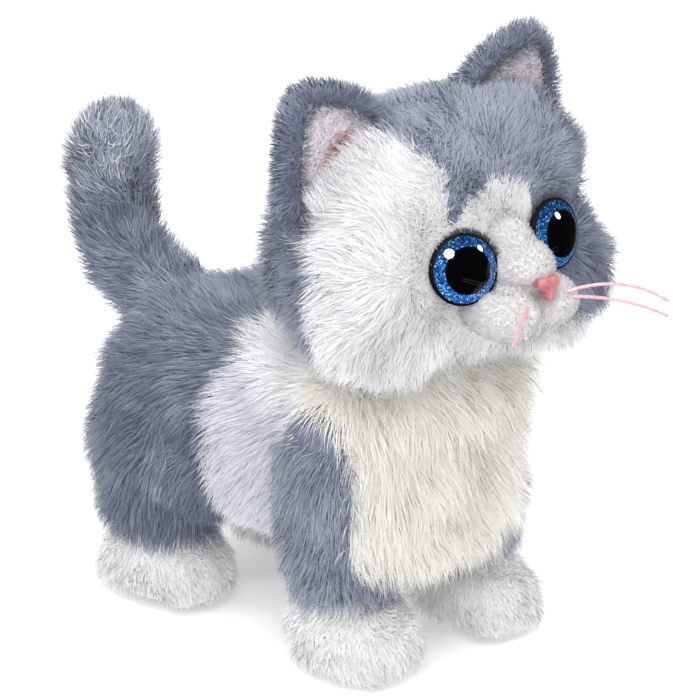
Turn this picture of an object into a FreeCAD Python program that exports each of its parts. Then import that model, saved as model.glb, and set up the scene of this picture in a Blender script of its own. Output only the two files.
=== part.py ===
import FreeCAD, Part
import Sketcher
import math
import os
import re

# Walking plush kitten: a fur-fabric animal over a two-part moulded housing that holds
# batteries, a circuit board, a speaker and a geared motor.  The output crankshaft of the
# gear train swings the four legs; the head nods on a neck bracket and the tail wags.
# Frame: +Z up, the kitten faces -Y, +X is its left side, the paws stand on Z = 0.

doc = FreeCAD.newDocument("plush_kitten")
V = FreeCAD.Vector

# ---------------------------------------------------------------- driving dimensions (mm)
DIMS = [
    ("origin_shift", 4.318, "moves the model so that its box is centred on Y = 0"),
    ("floor_level", 6.0, "level of the floor in the working frame; the model is lowered by it"),
    ("wall", 2.0, "housing wall"),
    ("house_half", 22.0, "half width of the housing"),
    ("house_front", -46.0, "front face of the housing"),
    ("house_rear", 54.0, "rear face of the housing"),
    ("house_base", 36.0, "underside of the housing"),
    ("house_top", 98.0, "top of the housing"),
    ("house_round", 6.0, "housing corner radius"),
    ("torso_half", 46.0, "half width of the plush trunk"),
    ("torso_front", -60.0, "front of the plush trunk"),
    ("torso_rear", 70.0, "rear of the plush trunk"),
    ("torso_base", 31.0, "underside of the plush trunk"),
    ("torso_top", 105.0, "top of the plush trunk"),
    ("torso_round", 29.0, "corner radius of the plush trunk"),
    ("leg_front", -38.0, "front leg pivot, along Y"),
    ("leg_rear", 40.0, "rear leg pivot, along Y"),
    ("leg_pivot_height", 64.0, "leg pivot height"),
    ("leg_pin_r", 2.0, "leg pivot pin radius"),
    ("paw_front", -46.2, "front paw centre, along Y"),
    ("paw_rear", 47.8, "rear paw centre, along Y"),
    ("paw_length", 48.0, "paw length"),
    ("paw_inner", 14.8, "inner side of a paw"),
    ("paw_outer", 45.0, "outer side of a paw"),
    ("paw_height", 27.0, "paw height"),
    ("paw_round", 9.5, "paw corner radius"),
    ("thigh_outer", 46.0, "outer side of the leg sleeve"),
    ("thigh_r", 16.5, "radius of the leg sleeve about its pivot"),
    ("head_y", -50.0, "head centre, along Y"),
    ("head_z", 147.0, "head centre height"),
    ("head_rx", 58.0, "head plush half width"),
    ("head_ry", 38.0, "head plush half depth"),
    ("head_rz", 44.0, "head plush half height"),
    ("shell_rx", 46.0, "head shell half width"),
    ("shell_ry", 28.0, "head shell half depth"),
    ("shell_rz", 34.0, "head shell half height"),
    ("head_gap", 3.6, "gap between head plush and trunk"),
    ("eye_x", 19.3, "eye centre, along X"),
    ("eye_y", -81.5, "eye back face, along Y"),
    ("eye_z", 150.0, "eye centre height"),
    ("eye_r", 11.0, "eye radius"),
    ("eye_post_r", 2.4, "eye post radius"),
    ("eye_turn", 18.0, "outward turn of an eye, degrees"),
    ("neck_y", -44.0, "neck pivot, along Y"),
    ("neck_z", 118.0, "neck pivot height"),
    ("neck_pin_r", 2.0, "neck pin radius"),
    ("tail_axis_y", 60.0, "tail pivot, along Y"),
    ("tail_start_y", 66.5, "start of the tail bend, along Y"),
    ("tail_start_z", 93.0, "start of the tail bend, height"),
    ("tail_bend", 31.0, "radius of the tail bend"),
    ("tail_rise", 22.0, "straight length above the bend"),
    ("tail_r", 13.5, "tail plush radius"),
    ("tail_core_r", 3.0, "tail spine radius"),
    ("crank_y", 0.0, "crankshaft, along Y"),
    ("crank_z", 72.0, "crankshaft height"),
    ("crank_r", 2.0, "crankshaft radius"),
    ("crank_throw", 5.2, "crank pin offset"),
    ("crank_pin_r", 1.5, "crank pin radius"),
    ("gear_module", 0.6, "gear module"),
    ("wheel_teeth", 40, "teeth on a large wheel"),
    ("small_teeth", 12, "teeth on a small wheel"),
    ("pinion_teeth", 10, "teeth on the motor pinion"),
    ("gear_tilt", 20.0, "angle of the second axle above the crankshaft, degrees"),
    ("motor_tilt", 45.0, "angle of the motor above the first axle, degrees"),
    ("gear_face", 3.0, "face width of a large wheel"),
    ("axle_r", 1.0, "gear axle radius"),
    ("run_gap", 0.05, "running clearance on a radius"),
    ("motor_r", 10.0, "motor can radius"),
    ("plate_left", -4.5, "inner gearbox plate, along X"),
    ("plate_right", -19.0, "outer gearbox plate, along X"),
    ("plate_thick", 1.5, "gearbox plate thickness"),
    ("cell_r", 5.2, "battery radius"),
    ("cell_length", 44.5, "battery length"),
    ("cell_z", 44.3, "battery axis height"),
    ("flap_half", 11.5, "half width of the belly flap"),
    ("flap_front", -31.0, "front edge of the belly flap"),
    ("flap_rear", 38.0, "rear edge of the belly flap"),
    ("button_y", 6.0, "back button, along Y"),
    ("button_r", 9.0, "back button radius"),
    ("whisker_r", 0.55, "whisker radius"),
    ("whisker_length", 33.0, "whisker length"),
]
sheet = doc.addObject("Spreadsheet::Sheet", "dims")
D = {}
for row, (alias, value, note) in enumerate(DIMS, start=1):
    sheet.set("A%d" % row, alias.replace("_", " "))
    sheet.set("B%d" % row, str(value))
    sheet.setAlias("B%d" % row, alias)
    sheet.set("C%d" % row, note)
    D[alias] = float(value)
doc.recompute()

WORD = re.compile(r"[a-z][a-z_]+")


def bound(text):
    """Turns a formula in sheet names into a FreeCAD expression."""
    def word(match):
        name = match.group(0)
        return "dims." + name if name in D else name
    return WORD.sub(word, text)


def put(obj, prop, value):
    """Sets a property from a number, or binds it to the sheet from a formula."""
    if isinstance(value, str):
        obj.setExpression(prop, bound(value))
    else:
        target = obj
        *path, last = prop.split(".")
        if path:
            pl = obj.Placement
            base = V(pl.Base)
            setattr(base, last, float(value))
            obj.Placement = FreeCAD.Placement(base, pl.Rotation)
        else:
            setattr(target, last, value)


def num(value):
    """The present value of a number or formula."""
    if isinstance(value, str):
        text = WORD.sub(lambda m: repr(D[m.group(0)]) if m.group(0) in D else m.group(0), value)
        total = sheet_value(text)
        return total
    return float(value)


def sheet_value(text):
    """Adds, subtracts, multiplies and divides the numbers in a formula, brackets first."""
    text = text.replace(" ", "")
    pos = [0]

    def atom():
        if text[pos[0]] == "-":
            pos[0] += 1
            return -atom()
        if text[pos[0]] == "+":
            pos[0] += 1
            return atom()
        if text[pos[0]] == "(":
            pos[0] += 1
            got = total()
            pos[0] += 1
            return got
        start = pos[0]
        while pos[0] < len(text) and (text[pos[0]].isdigit() or text[pos[0]] in ".e"):
            pos[0] += 1
        return float(text[start:pos[0]])

    def product():
        got = atom()
        while pos[0] < len(text) and text[pos[0]] in "*/":
            op = text[pos[0]]
            pos[0] += 1
            other = atom()
            got = got * other if op == "*" else got / other
        return got

    def total():
        got = product()
        while pos[0] < len(text) and text[pos[0]] in "+-":
            op = text[pos[0]]
            pos[0] += 1
            other = product()
            got = got + other if op == "+" else got - other
        return got

    return total()


COUNT = [0]


def name_of(kind):
    COUNT[0] += 1
    return "%s_%03d" % (kind, COUNT[0])


def at(obj, x, y, z, rotation=None):
    obj.Placement = FreeCAD.Placement(V(0, 0, 0), rotation or FreeCAD.Rotation())
    put(obj, "Placement.Base.x", x)
    put(obj, "Placement.Base.y", y)
    put(obj, "Placement.Base.z", z)
    return obj


def box(x1, x2, y1, y2, z1, z2, side=1):
    """A block between two corners; side -1 mirrors it to the right-hand side."""
    if side < 0:
        x1, x2 = "-(%s)" % x2, "-(%s)" % x1
    b = doc.addObject("Part::Box", name_of("block"))
    for prop, lo, hi in (("Length", x1, x2), ("Width", y1, y2), ("Height", z1, z2)):
        put(b, prop, "(%s)-(%s)" % (hi, lo))
    return at(b, x1 if isinstance(x1, str) else float(x1), y1, z1)


AX = {"x": FreeCAD.Rotation(V(0, 1, 0), 90), "y": FreeCAD.Rotation(V(1, 0, 0), -90),
      "z": FreeCAD.Rotation()}


def rod(axis, r, start, end, u, v, side=1):
    """A round bar along an axis from start to end; u and v place it across the axis."""
    if axis == "x" and side < 0:
        start, end = "-(%s)" % end, "-(%s)" % start
    c = doc.addObject("Part::Cylinder", name_of("rod"))
    put(c, "Radius", r)
    put(c, "Height", "(%s)-(%s)" % (end, start))
    pos = {"x": (start, u, v), "y": (u, start, v), "z": (u, v, start)}[axis]
    return at(c, *pos, rotation=AX[axis])


def egg(x, y, z, rx, ry, rz):
    e = doc.addObject("Part::Ellipsoid", name_of("egg"))
    put(e, "Radius2", rx)
    put(e, "Radius3", ry)
    put(e, "Radius1", rz)
    e.Angle1, e.Angle2, e.Angle3 = -90, 90, 360
    return at(e, x, y, z)


def fuse(*objs):
    f = doc.addObject("Part::MultiFuse", name_of("join"))
    f.Shapes = list(objs)
    f.Refine = False
    return f


def cut(base, *tools):
    tool = tools[0] if len(tools) == 1 else fuse(*tools)
    c = doc.addObject("Part::Cut", name_of("cut"))
    c.Base, c.Tool = base, tool
    return c


def common(a, b):
    c = doc.addObject("Part::Common", name_of("common"))
    c.Base, c.Tool = a, b
    return c


def group(*objs):
    g = doc.addObject("Part::Compound", name_of("group"))
    g.Links = list(objs)
    return g


def rounded(base, radius, pick=None):
    """Fillets the edges of a block; pick chooses edges by their middle point."""
    doc.recompute()
    f = doc.addObject("Part::Fillet", name_of("round"))
    f.Base = base
    edges = []
    for i, e in enumerate(base.Shape.Edges, start=1):
        mid = e.valueAt((e.FirstParameter + e.LastParameter) / 2)
        if pick is None or pick(mid, e):
            edges.append((i, num(radius), num(radius)))
    f.Edges = edges
    return f


NODES = []


def node(obj, label):
    """Names a finished piece and moves it into the model's frame."""
    obj.Label = label
    p = obj.Placement
    base_y = p.Base.y
    had = [e for e in obj.ExpressionEngine if e[0].strip(".") == "Placement.Base.y"]
    if had:
        obj.setExpression("Placement.Base.y", "(%s) + dims.origin_shift" % had[0][1])
    else:
        obj.setExpression("Placement.Base.y", "%r + dims.origin_shift" % base_y)
    base_z = p.Base.z
    had = [e for e in obj.ExpressionEngine if e[0].strip(".") == "Placement.Base.z"]
    if had:
        obj.setExpression("Placement.Base.z", "(%s) - dims.floor_level" % had[0][1])
    else:
        obj.setExpression("Placement.Base.z", "%r - dims.floor_level" % base_z)
    NODES.append(obj)
    return obj


def plane(body, role):
    return [f for f in body.Origin.OriginFeatures if f.Role == role][0]


def sketch_on(body, role, name):
    s = body.newObject("Sketcher::SketchObject", name)
    s.AttachmentSupport = (plane(body, role), [""])
    s.MapMode = "FlatFace"
    return s


def circle(s, cx, cy, radius, alias=None):
    i = s.addGeometry(Part.Circle(V(cx, cy, 0), V(0, 0, 1), num(radius)), False)
    k = s.addConstraint(Sketcher.Constraint("Radius", i, num(radius)))
    if isinstance(radius, str):
        s.setExpression("Constraints[%d]" % k, bound(radius))
    if abs(cx) < 1e-9 and abs(cy) < 1e-9:
        s.addConstraint(Sketcher.Constraint("Coincident", i, 3, -1, 1))
    else:
        s.addConstraint(Sketcher.Constraint("DistanceX", -1, 1, i, 3, cx))
        s.addConstraint(Sketcher.Constraint("DistanceY", -1, 1, i, 3, cy))
    return i


def polygon(s, points):
    n = len(points)
    ids = [s.addGeometry(Part.LineSegment(V(*points[k], 0), V(*points[(k + 1) % n], 0)), False)
           for k in range(n)]
    for k in range(n):
        s.addConstraint(Sketcher.Constraint("Coincident", ids[k], 2, ids[(k + 1) % n], 1))
        s.addConstraint(Sketcher.Constraint("Block", ids[k]))
    return ids


# ---------------------------------------------------------------- gears
PRESSURE = math.radians(22.0)


def gear(teeth, face, bore, name, addendum=0.85):
    """A spur wheel on the YZ plane, one tooth centred on +Y, thickness along +X."""
    z = int(D[teeth])
    m = D["gear_module"]
    rp = m * z / 2
    rb = rp * math.cos(PRESSURE)
    ra = rp + addendum * m
    rf = rp - 1.25 * m
    thick = 0.80 * math.pi * m / 2

    def inv(a):
        return math.tan(a) - a

    def half(r):
        a = math.acos(min(1.0, rb / max(r, rb)))
        return thick / 2 / rp + inv(PRESSURE) - inv(a)

    body = doc.addObject("PartDesign::Body", name)
    s = sketch_on(body, "YZ_Plane", name + "_blank")
    circle(s, 0, 0, "gear_module*%s/2+%r*gear_module" % (teeth, addendum))
    circle(s, 0, 0, bore)
    pad = body.newObject("PartDesign::Pad", name + "_pad")
    pad.Profile = s
    put(pad, "Length", face)
    doc.recompute()
    g = sketch_on(body, "YZ_Plane", name + "_gap")
    mid = math.pi / z
    radii = [rf + (ra + 0.35 - rf) * k / 6 for k in range(7)]
    low, high = [], []
    for r in radii:
        w = mid - half(min(r, ra))
        low.append((r * math.cos(mid - w), r * math.sin(mid - w)))
        high.append((r * math.cos(mid + w), r * math.sin(mid + w)))
    polygon(g, low + high[::-1])
    pocket = body.newObject("PartDesign::Pocket", name + "_pocket")
    pocket.Profile = g
    pocket.Type = 1
    pocket.Midplane = True
    doc.recompute()
    pattern = body.newObject("PartDesign::PolarPattern", name + "_pattern")
    pattern.Originals = [pocket]
    pattern.Axis = (g, ["N_Axis"])
    pattern.Angle = 360
    put(pattern, "Occurrences", teeth)
    body.Tip = pattern
    doc.recompute()
    return body


def turn(body, x, y, z, angle):
    """Puts a wheel on its axle, turned by an angle in degrees about +X."""
    body.Placement = FreeCAD.Placement(V(x, y, z), FreeCAD.Rotation(V(1, 0, 0), angle))
    return body


def mesh_angle(phi, za, ta, zb):
    """The angle of wheel B that meshes with wheel A, whose tooth is at ta, along phi."""
    ua = (phi - ta) * za / 360.0
    return phi + 180.0 - (0.5 - ua) * 360.0 / zb


m = D["gear_module"]
zw, zs, zp = D["wheel_teeth"], D["small_teeth"], D["pinion_teeth"]
step = m * (zw + zs) / 2
tilt = D["gear_tilt"]
c0 = (D["crank_y"], D["crank_z"])
c1 = (c0[0] + step * math.cos(math.radians(tilt)), c0[1] + step * math.sin(math.radians(tilt)))
c2 = (c1[0] + step * math.cos(math.radians(-tilt)), c1[1] + step * math.sin(math.radians(-tilt)))
up = D["motor_tilt"]
last = m * (zw + zp) / 2
c3 = (c2[0] + last * math.cos(math.radians(up)), c2[1] + last * math.sin(math.radians(up)))

a0 = 0.0
a1 = mesh_angle(tilt, zw, a0, zs)
a2 = mesh_angle(-tilt, zw, a1, zs)
a3 = mesh_angle(up, zw, a2, zp)

bore_on_axle = "axle_r+run_gap"
out_wheel = gear("wheel_teeth", "gear_face", "crank_r", "output_wheel")
turn(out_wheel, -16.5, c0[0], c0[1], a0)
node(out_wheel, "output_gear")

small2 = gear("small_teeth", 4.5, bore_on_axle, "second_small")
turn(small2, -17.0, c1[0], c1[1], a1)
wheel2 = gear("wheel_teeth", "gear_face", bore_on_axle, "second_wheel")
turn(wheel2, -12.5, c1[0], c1[1], a1)
node(fuse(small2, wheel2), "gear_second")

small1 = gear("small_teeth", 4.5, bore_on_axle, "first_small")
turn(small1, -13.0, c2[0], c2[1], a2)
wheel1 = gear("wheel_teeth", "gear_face", bore_on_axle, "first_wheel")
turn(wheel1, -8.5, c2[0], c2[1], a2)
node(fuse(small1, wheel1), "gear_first")

pin_wheel = gear("pinion_teeth", 3.6, "axle_r", "motor_small")
turn(pin_wheel, -8.8, c3[0], c3[1], a3)
motor_shaft = rod("x", "axle_r", -10.0, -2.6, c3[0], c3[1])
node(fuse(pin_wheel, motor_shaft), "motor_pinion")

# ---------------------------------------------------------------- gearbox frame and motor
def gear_plate(x, label):
    """A side plate of the gearbox: rounded outline with bearing holes and post holes."""
    body = doc.addObject("PartDesign::Body", label + "_body")
    s = sketch_on(body, "YZ_Plane", label + "_outline")
    polygon(s, [(-14, 64), (-6, 57.5), (40, 57.5), (49, 66), (49, 84), (42, 90), (32, 94),
                (17, 94), (15, 89.6), (-6, 89.6), (-14, 86)])
    circle(s, c0[0], c0[1], "crank_r+run_gap+0.05")
    circle(s, c1[0], c1[1], "axle_r")
    circle(s, c2[0], c2[1], "axle_r")
    circle(s, c3[0], c3[1], "axle_r+0.4")
    pad = body.newObject("PartDesign::Pad", label + "_pad")
    pad.Profile = s
    put(pad, "Length", "plate_thick")
    doc.recompute()
    body.Placement = FreeCAD.Placement(V(D[x], 0, 0), FreeCAD.Rotation())
    body.setExpression("Placement.Base.x", "dims." + x)
    return node(body, label)


gear_plate("plate_left", "gearbox_plate_left")
gear_plate("plate_right", "gearbox_plate_right")
posts = [(-9.5, 84.5), (14.66, 60.3), (45.0, 66.5), (22.0, 91.3)]
node(group(*[rod("x", 2.0, "plate_right+plate_thick", "plate_left", y, z) for y, z in posts]),
     "gearbox_posts")
node(group(*[rod("x", "axle_r", "plate_right", "plate_left+plate_thick", c[0], c[1])
             for c in (c1, c2)]), "gear_axles")
node(fuse(rod("x", "motor_r", -2.4, 17.5, c3[0], c3[1]),
          rod("x", 3.0, 17.5, 19.2, c3[0], c3[1])), "motor_can")

# ---------------------------------------------------------------- crankshaft
node(rod("x", "crank_r", -25.3, 25.3, c0[0], c0[1]), "crankshaft")
discs = []
for side, lift in ((1, 1), (-1, -1)):
    disc = cut(rod("x", 8.0, 23.0, 25.5, c0[0], c0[1], side),
               rod("x", "crank_r", 22.5, 25.3, c0[0], c0[1], side))
    pin = rod("x", "crank_pin_r", 25.5, 29.0, c0[0], "crank_z+(%d)*crank_throw" % lift, side)
    discs.append(fuse(disc, pin))
node(group(*discs), "crank_discs")
node(group(*[cut(rod("x", 3.5, 19.6, 22.6, c0[0], c0[1], side),
                 rod("x", "crank_r+run_gap", 19.0, 23.0, c0[0], c0[1], side))
             for side in (1, -1)]), "crank_bushes")

# ---------------------------------------------------------------- housing halves
bosses = [(-40.5, 43.0), (48.0, 43.0), (-40.5, 91.5), (48.3, 93.5)]
house_outer = box("-house_half", "house_half", "house_front", "house_rear",
                  "house_base", "house_top")
house_round = rounded(house_outer, "house_round")
house_inner = box("-house_half+wall", "house_half-wall", "house_front+wall",
                  "house_rear-wall", "house_base+wall", "house_top-wall")
inner_round = rounded(house_inner, 4.0)
hollow = cut(house_round, inner_round)
for side, label in ((1, "housing_left"), (-1, "housing_right")):
    half = common(hollow, box(0, 60, -100, 100, 0, 150, side))
    tubes = []
    for y, z in bosses:
        tubes.append(rod("x", 3.0, 0, "house_half-0.5*wall", y, z, side))
    solid = fuse(half, *tubes)
    holes = [rod("x", 3.5, 15, 30, c0[0], c0[1], side),
             rod("x", "leg_pin_r", 15, 30, "leg_front", "leg_pivot_height", side),
             rod("x", "leg_pin_r", 15, 30, "leg_rear", "leg_pivot_height", side),
             box(0, 11.6, -29.3, 25.0, 30, 40, side),
             box(0, 2.6, 28.8, 37.0, 30, 40, side),
             rod("z", 3.4, 90, 110, 0, "button_y"),
             rod("y", 2.0, -60, -40, 4.5 * side, 68.0),
             rod("y", 2.0, -60, -40, 4.5 * side, 75.0),
             rod("y", 2.0, -60, -40, 4.5 * side, 61.0)]
    for y, z in bosses:
        holes.append(rod("x", 1.2, -1, 12.0, y, z, side))
        if side < 0:
            holes.append(rod("x", 1.2, -1, 30.0, y, z, side))
            holes.append(rod("x", 2.5, 20.5, 30.0, y, z, side))
    node(cut(solid, *holes), label)
node(group(*[fuse(rod("x", 1.2, -20.5, 11.5, y, z), rod("x", 2.4, -22.0, -20.5, y, z))
             for y, z in bosses]), "housing_screws")
node(group(*[rod("x", "leg_pin_r", 19.4, "%s" % (32.4 if f == "leg_front" else 35.9),
                 f, "leg_pivot_height", side)
             for side in (1, -1) for f in ("leg_front", "leg_rear")]), "leg_pivot_pins")

# ---------------------------------------------------------------- batteries, switch, board
tray = cut(fuse(box(-11.4, 11.4, -24.6, 24.6, 38.2, 51.0), box(-4, 4, -29.2, -24.6, 38.2, 48.0)),
           box(-10.8, 10.8, -23.4, 23.4, 30.0, 50.0),
           rod("z", 1.15, 30, 46, 0, -27.0))
node(tray, "battery_tray")
cells = []
for i, x in enumerate((-5.35, 5.35)):
    d = 1 if i == 0 else -1
    can = rod("y", "cell_r", "-cell_length/2", "cell_length/2-0.9", x, "cell_z")
    tip = rod("y", 1.9, "cell_length/2-0.9", "cell_length/2", x, "cell_z")
    cell = fuse(can, tip)
    cells.append(cell)
node(group(*cells), "battery_cells")
node(group(*[box(x - 3.6, x + 3.6, y, y + 0.5, 40.5, 48.0)
             for x in (-5.35, 5.35) for y in (-22.9, 22.4)]), "battery_contacts")
door = cut(box(-11.3, 11.3, -29.0, 24.8, "house_base", "house_base+wall-0.1"),
           rod("z", 1.3, 30, 40, 0, -27.0), rod("z", 2.3, 30, 36.9, 0, -27.0))
node(door, "battery_door")
node(fuse(rod("z", 1.1, 36.9, 45.0, 0, -27.0), rod("z", 2.2, 35.4, 36.9, 0, -27.0)),
     "door_screw")
node(box(-5, 5, 28.0, 37.6, 38.3, 44.0), "switch_body")
node(fuse(box(-2.0, 2.0, 29.6, 33.0, 34.8, 38.1), box(-1.2, 1.2, 30.4, 32.2, 34.4, 34.8)),
     "switch_knob")
board = cut(box(-7.8, 18.0, -34.0, 14.0, 90.0, 91.6), rod("z", 1.6, 88, 93, 14.0, -30.0),
            rod("z", 1.6, 88, 93, -4.5, -30.0))
chips = [box(2, 10, -28, -18, 91.6, 93.2), box(11, 15, -14, -6, 91.6, 93.6),
         rod("z", 2.5, 91.6, 95.4, 14.0, 4.0)]
node(fuse(board, *chips), "circuit_board")
node(fuse(box(-3, 3, 3, 9, 91.65, 94.4), rod("z", 1.7, 94.4, 95.1, 0, "button_y")),
     "button_switch")
node(fuse(rod("z", 3.1, 96.9, 99.8, 0, "button_y"),
          rod("z", "button_r", 99.8, 102.2, 0, "button_y")), "back_button")
speaker = fuse(rod("y", 13.5, -43.9, -41.5, 0, 68.0), rod("y", 11.0, -41.5, -38.5, 0, 68.0),
               rod("y", 6.5, -38.5, -34.5, 0, 68.0))
node(speaker, "speaker")

# ---------------------------------------------------------------- neck and tail brackets
post = fuse(box(-12, 12, -45.5, -27, "house_top", "house_top+2"),
            box(-6.8, 6.8, "neck_y-4", "neck_y+4", "house_top", "neck_z"),
            rod("x", 4.0, -6.8, 6.8, "neck_y", "neck_z"))
node(cut(post, rod("x", "neck_pin_r", -20, 20, "neck_y", "neck_z")), "neck_bracket")
node(rod("x", "neck_pin_r", -10.6, 10.6, "neck_y", "neck_z"), "neck_pivot_pin")
bracket = fuse(box(-8, 8, "house_rear", "house_rear+2", 82, 96.5),
               box(-5, 5, "house_rear+1", "tail_axis_y+4", 82, 84.5),
               box(-5, 5, "house_rear+1", "tail_axis_y+4", 94.0, 96.5))
node(cut(bracket, rod("z", 1.5, 80, 105, 0, "tail_axis_y")), "tail_bracket")
node(rod("z", 1.5, 81.5, 97.0, 0, "tail_axis_y"), "tail_pivot_pin")

# ---------------------------------------------------------------- tail
BEND = FreeCAD.Rotation(V(0, 1, 0), 90)


def bend(r):
    """The quarter bend of the tail, from its root to where it stands upright."""
    t = doc.addObject("Part::Torus", name_of("bend"))
    put(t, "Radius1", "tail_bend")
    put(t, "Radius2", r)
    t.Angle1, t.Angle2, t.Angle3 = -180, 180, 90
    return at(t, 0, "tail_start_y", "tail_start_z+tail_bend", BEND)


def ball(r, x, y, z):
    b = doc.addObject("Part::Sphere", name_of("ball"))
    put(b, "Radius", r)
    return at(b, x, y, z)


core_path = [bend("tail_core_r"),
             rod("z", "tail_core_r", "tail_start_z+tail_bend",
                 "tail_start_z+tail_bend+tail_rise", 0, "tail_start_y+tail_bend"),
             rod("y", "tail_core_r", "tail_axis_y+2", "tail_start_y", 0, "tail_start_z")]
hub = rod("z", 4.0, 84.8, 93.7, 0, "tail_axis_y")
arm = box(-2, 2, "tail_axis_y", "tail_start_y+2", 88.5, 93.0)
tail_core = cut(fuse(hub, arm, *core_path), rod("z", 1.55, 80, 100, 0, "tail_axis_y"),
                box(-6, 6, "tail_axis_y-6", "tail_axis_y+4.8", 93.7, 98.0))
node(tail_core, "tail_core")
tail_solid = fuse(bend("tail_r"),
                  rod("z", "tail_r", "tail_start_z+tail_bend",
                      "tail_start_z+tail_bend+tail_rise", 0, "tail_start_y+tail_bend"),
                  ball("tail_r", 0, "tail_start_y+tail_bend",
                       "tail_start_z+tail_bend+tail_rise"))
tail_hole = fuse(bend("tail_core_r+0.1"),
                 rod("z", "tail_core_r+0.1", "tail_start_z+tail_bend",
                     "tail_start_z+tail_bend+tail_rise+0.1", 0, "tail_start_y+tail_bend"),
                 box(-2.2, 2.2, "tail_start_y-2", "tail_start_y+2.1", 88.3, 93.2))
node(cut(tail_solid, tail_hole), "tail_plush")

# ---------------------------------------------------------------- legs
def leg(front, side, tag):
    """A leg: moulded core with crank arm and sole plate, and its plush sleeve with paw."""
    pivot = "leg_front" if front else "leg_rear"
    paw = "paw_front" if front else "paw_rear"
    lo, hi = (29.6, 32.2) if front else (33.0, 35.6)
    toward = 1 if front else -1
    py, pz = D[pivot], D["leg_pivot_height"]
    cy = D[paw]
    # crank arm: from the pivot to past the crankshaft, with a slot for the crank pin
    dy, dz = D["crank_y"] - py, D["crank_z"] - pz
    length = math.hypot(dy, dz)
    angle = math.degrees(math.atan2(dz, dy))

    def bar(long, width, start, end, ang, oy, oz, back=0.0):
        b = doc.addObject("Part::Box", name_of("bar"))
        b.Length, b.Width, b.Height = end - start, long + back, width
        rot = FreeCAD.Rotation(V(1, 0, 0), ang)
        off = rot.multVec(V(0, -back, -width / 2))
        x0 = start if side > 0 else -end
        b.Placement = FreeCAD.Placement(V(x0, oy + off.y, oz + off.z), rot)
        return b

    arm_bar = bar(length + 5.0, 7.0, lo, hi, angle, py, pz)
    slot = bar(length + 3.0, 3.3, lo - 1, hi + 1, angle, py, pz)
    slot_keep = bar(length - 4.0, 8.0, lo - 1, hi + 1, angle, py, pz)
    slot_only = cut(slot, slot_keep)
    floor = D["floor_level"]
    foot_y, foot_z = cy, floor + 8.0
    sdy, sdz = foot_y - py, foot_z - pz
    shin = bar(math.hypot(sdy, sdz), 8.0, lo, hi,
               math.degrees(math.atan2(sdz, sdy)), py, pz)
    eye = rod("x", 5.0, lo, hi, pivot, "leg_pivot_height", side)
    sole = box(19.0, 39.0, "%s-15" % paw, "%s+15" % paw, floor + 4.0, floor + 7.0, side)
    ankle = box(lo - 2, hi + 2, "%s-6" % paw, "%s+6" % paw, floor + 6.5, floor + 14.0, side)
    core = cut(fuse(arm_bar, eye, shin, sole, ankle), slot_only,
               rod("x", "leg_pin_r+run_gap", lo - 1, hi + 1, pivot, "leg_pivot_height", side))
    node(core, "leg_core_" + tag)
    paw_block = rounded(box("paw_inner", "paw_outer", "%s-paw_length/2" % paw,
                            "%s+paw_length/2" % paw, "floor_level",
                            "floor_level+paw_height", side), "paw_round")
    lower = rounded(box(23.4, "thigh_outer", cy - 15.5 if front else cy - 17.0,
                        cy + 15.5 if front else cy + 16.0, 18.0, 50.0, side), 7.0)
    pad = rod("x", "thigh_r", 37.2, "thigh_outer", pivot, "leg_pivot_height", side)
    slotted = box(lo - 0.6, hi + 0.6, cy - 30, cy + 30, 40.0, 80.0, side)
    sleeve = cut(fuse(paw_block, lower, pad), core_copy(core), slotted,
                 box(20, 37.0, -100, 100, 44.0, 90.0, side))
    node(sleeve, "leg_plush_" + tag)


def core_copy(core):
    """The same core solid in design position, as a cutting tool."""
    doc.recompute()
    f = doc.addObject("Part::Feature", name_of("tool"))
    shape = core.Shape.copy()
    shape.translate(V(0, -D["origin_shift"], D["floor_level"]))
    f.Shape = shape
    return f


for front in (True, False):
    for side in (1, -1):
        leg(front, side, ("front_" if front else "rear_") + ("left" if side > 0 else "right"))

# ---------------------------------------------------------------- head
head_egg = egg(0, "head_y", "head_z", "head_rx", "head_ry", "head_rz")
cavity = egg(0, "head_y", "head_z", "shell_rx+0.15", "shell_ry+0.15", "shell_rz+0.15")


def eye_frame(side):
    a = math.radians(D["eye_turn"])
    n = V(side * math.sin(a), -math.cos(a), 0.06)
    n.normalize()
    return n, FreeCAD.Rotation(V(0, 0, 1), n)


def eye_tool(side, r, back, front):
    n, rot = eye_frame(side)
    c = doc.addObject("Part::Cylinder", name_of("seat"))
    put(c, "Radius", r)
    c.Height = front - back
    base = V(side * D["eye_x"], D["eye_y"], D["eye_z"]) + n * back
    c.Placement = FreeCAD.Placement(base, rot)
    return c


neck_hole = box(-13.5, 13.5, "neck_y-14", "neck_y+14", 90, 124)
head_tools = [cavity, neck_hole]
for side in (1, -1):
    head_tools += [eye_tool(side, "eye_r+0.1", -0.1, 25), eye_tool(side, "eye_post_r+0.1", -14, 1)]
node(cut(head_egg, *head_tools), "head_plush")

shell_outer = egg(0, "head_y", "head_z", "shell_rx", "shell_ry", "shell_rz")
shell_inner = egg(0, "head_y", "head_z", "shell_rx-wall", "shell_ry-wall", "shell_rz-wall")
shell_hollow = cut(shell_outer, shell_inner,
                   box(-7.3, 7.3, "neck_y-9", "neck_y+9", 90, 124))
front_half = common(shell_hollow, box(-80, 80, -140, "head_y", 60, 240))
node(cut(front_half, eye_tool(1, "eye_post_r+0.1", -16, 1),
         eye_tool(-1, "eye_post_r+0.1", -16, 1),
         box(-11, 11, "head_y-2", "head_y+2", 90, 118.5)), "head_shell_front")
back_half = common(shell_hollow, box(-80, 80, "head_y", 60, 60, 240))
lugs = [cut(fuse(rod("x", 4.5, 7.4, 10.2, "neck_y", "neck_z", side),
                 box(7.4, 10.2, "neck_y-4.5", "neck_y+4.5", 112.5, "neck_z", side)),
            rod("x", "neck_pin_r+run_gap", 5, 12, "neck_y", "neck_z", side))
        for side in (1, -1)]
back_clear = cut(back_half, rod("x", "neck_pin_r+run_gap", -12, 12, "neck_y", "neck_z"))
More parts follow.
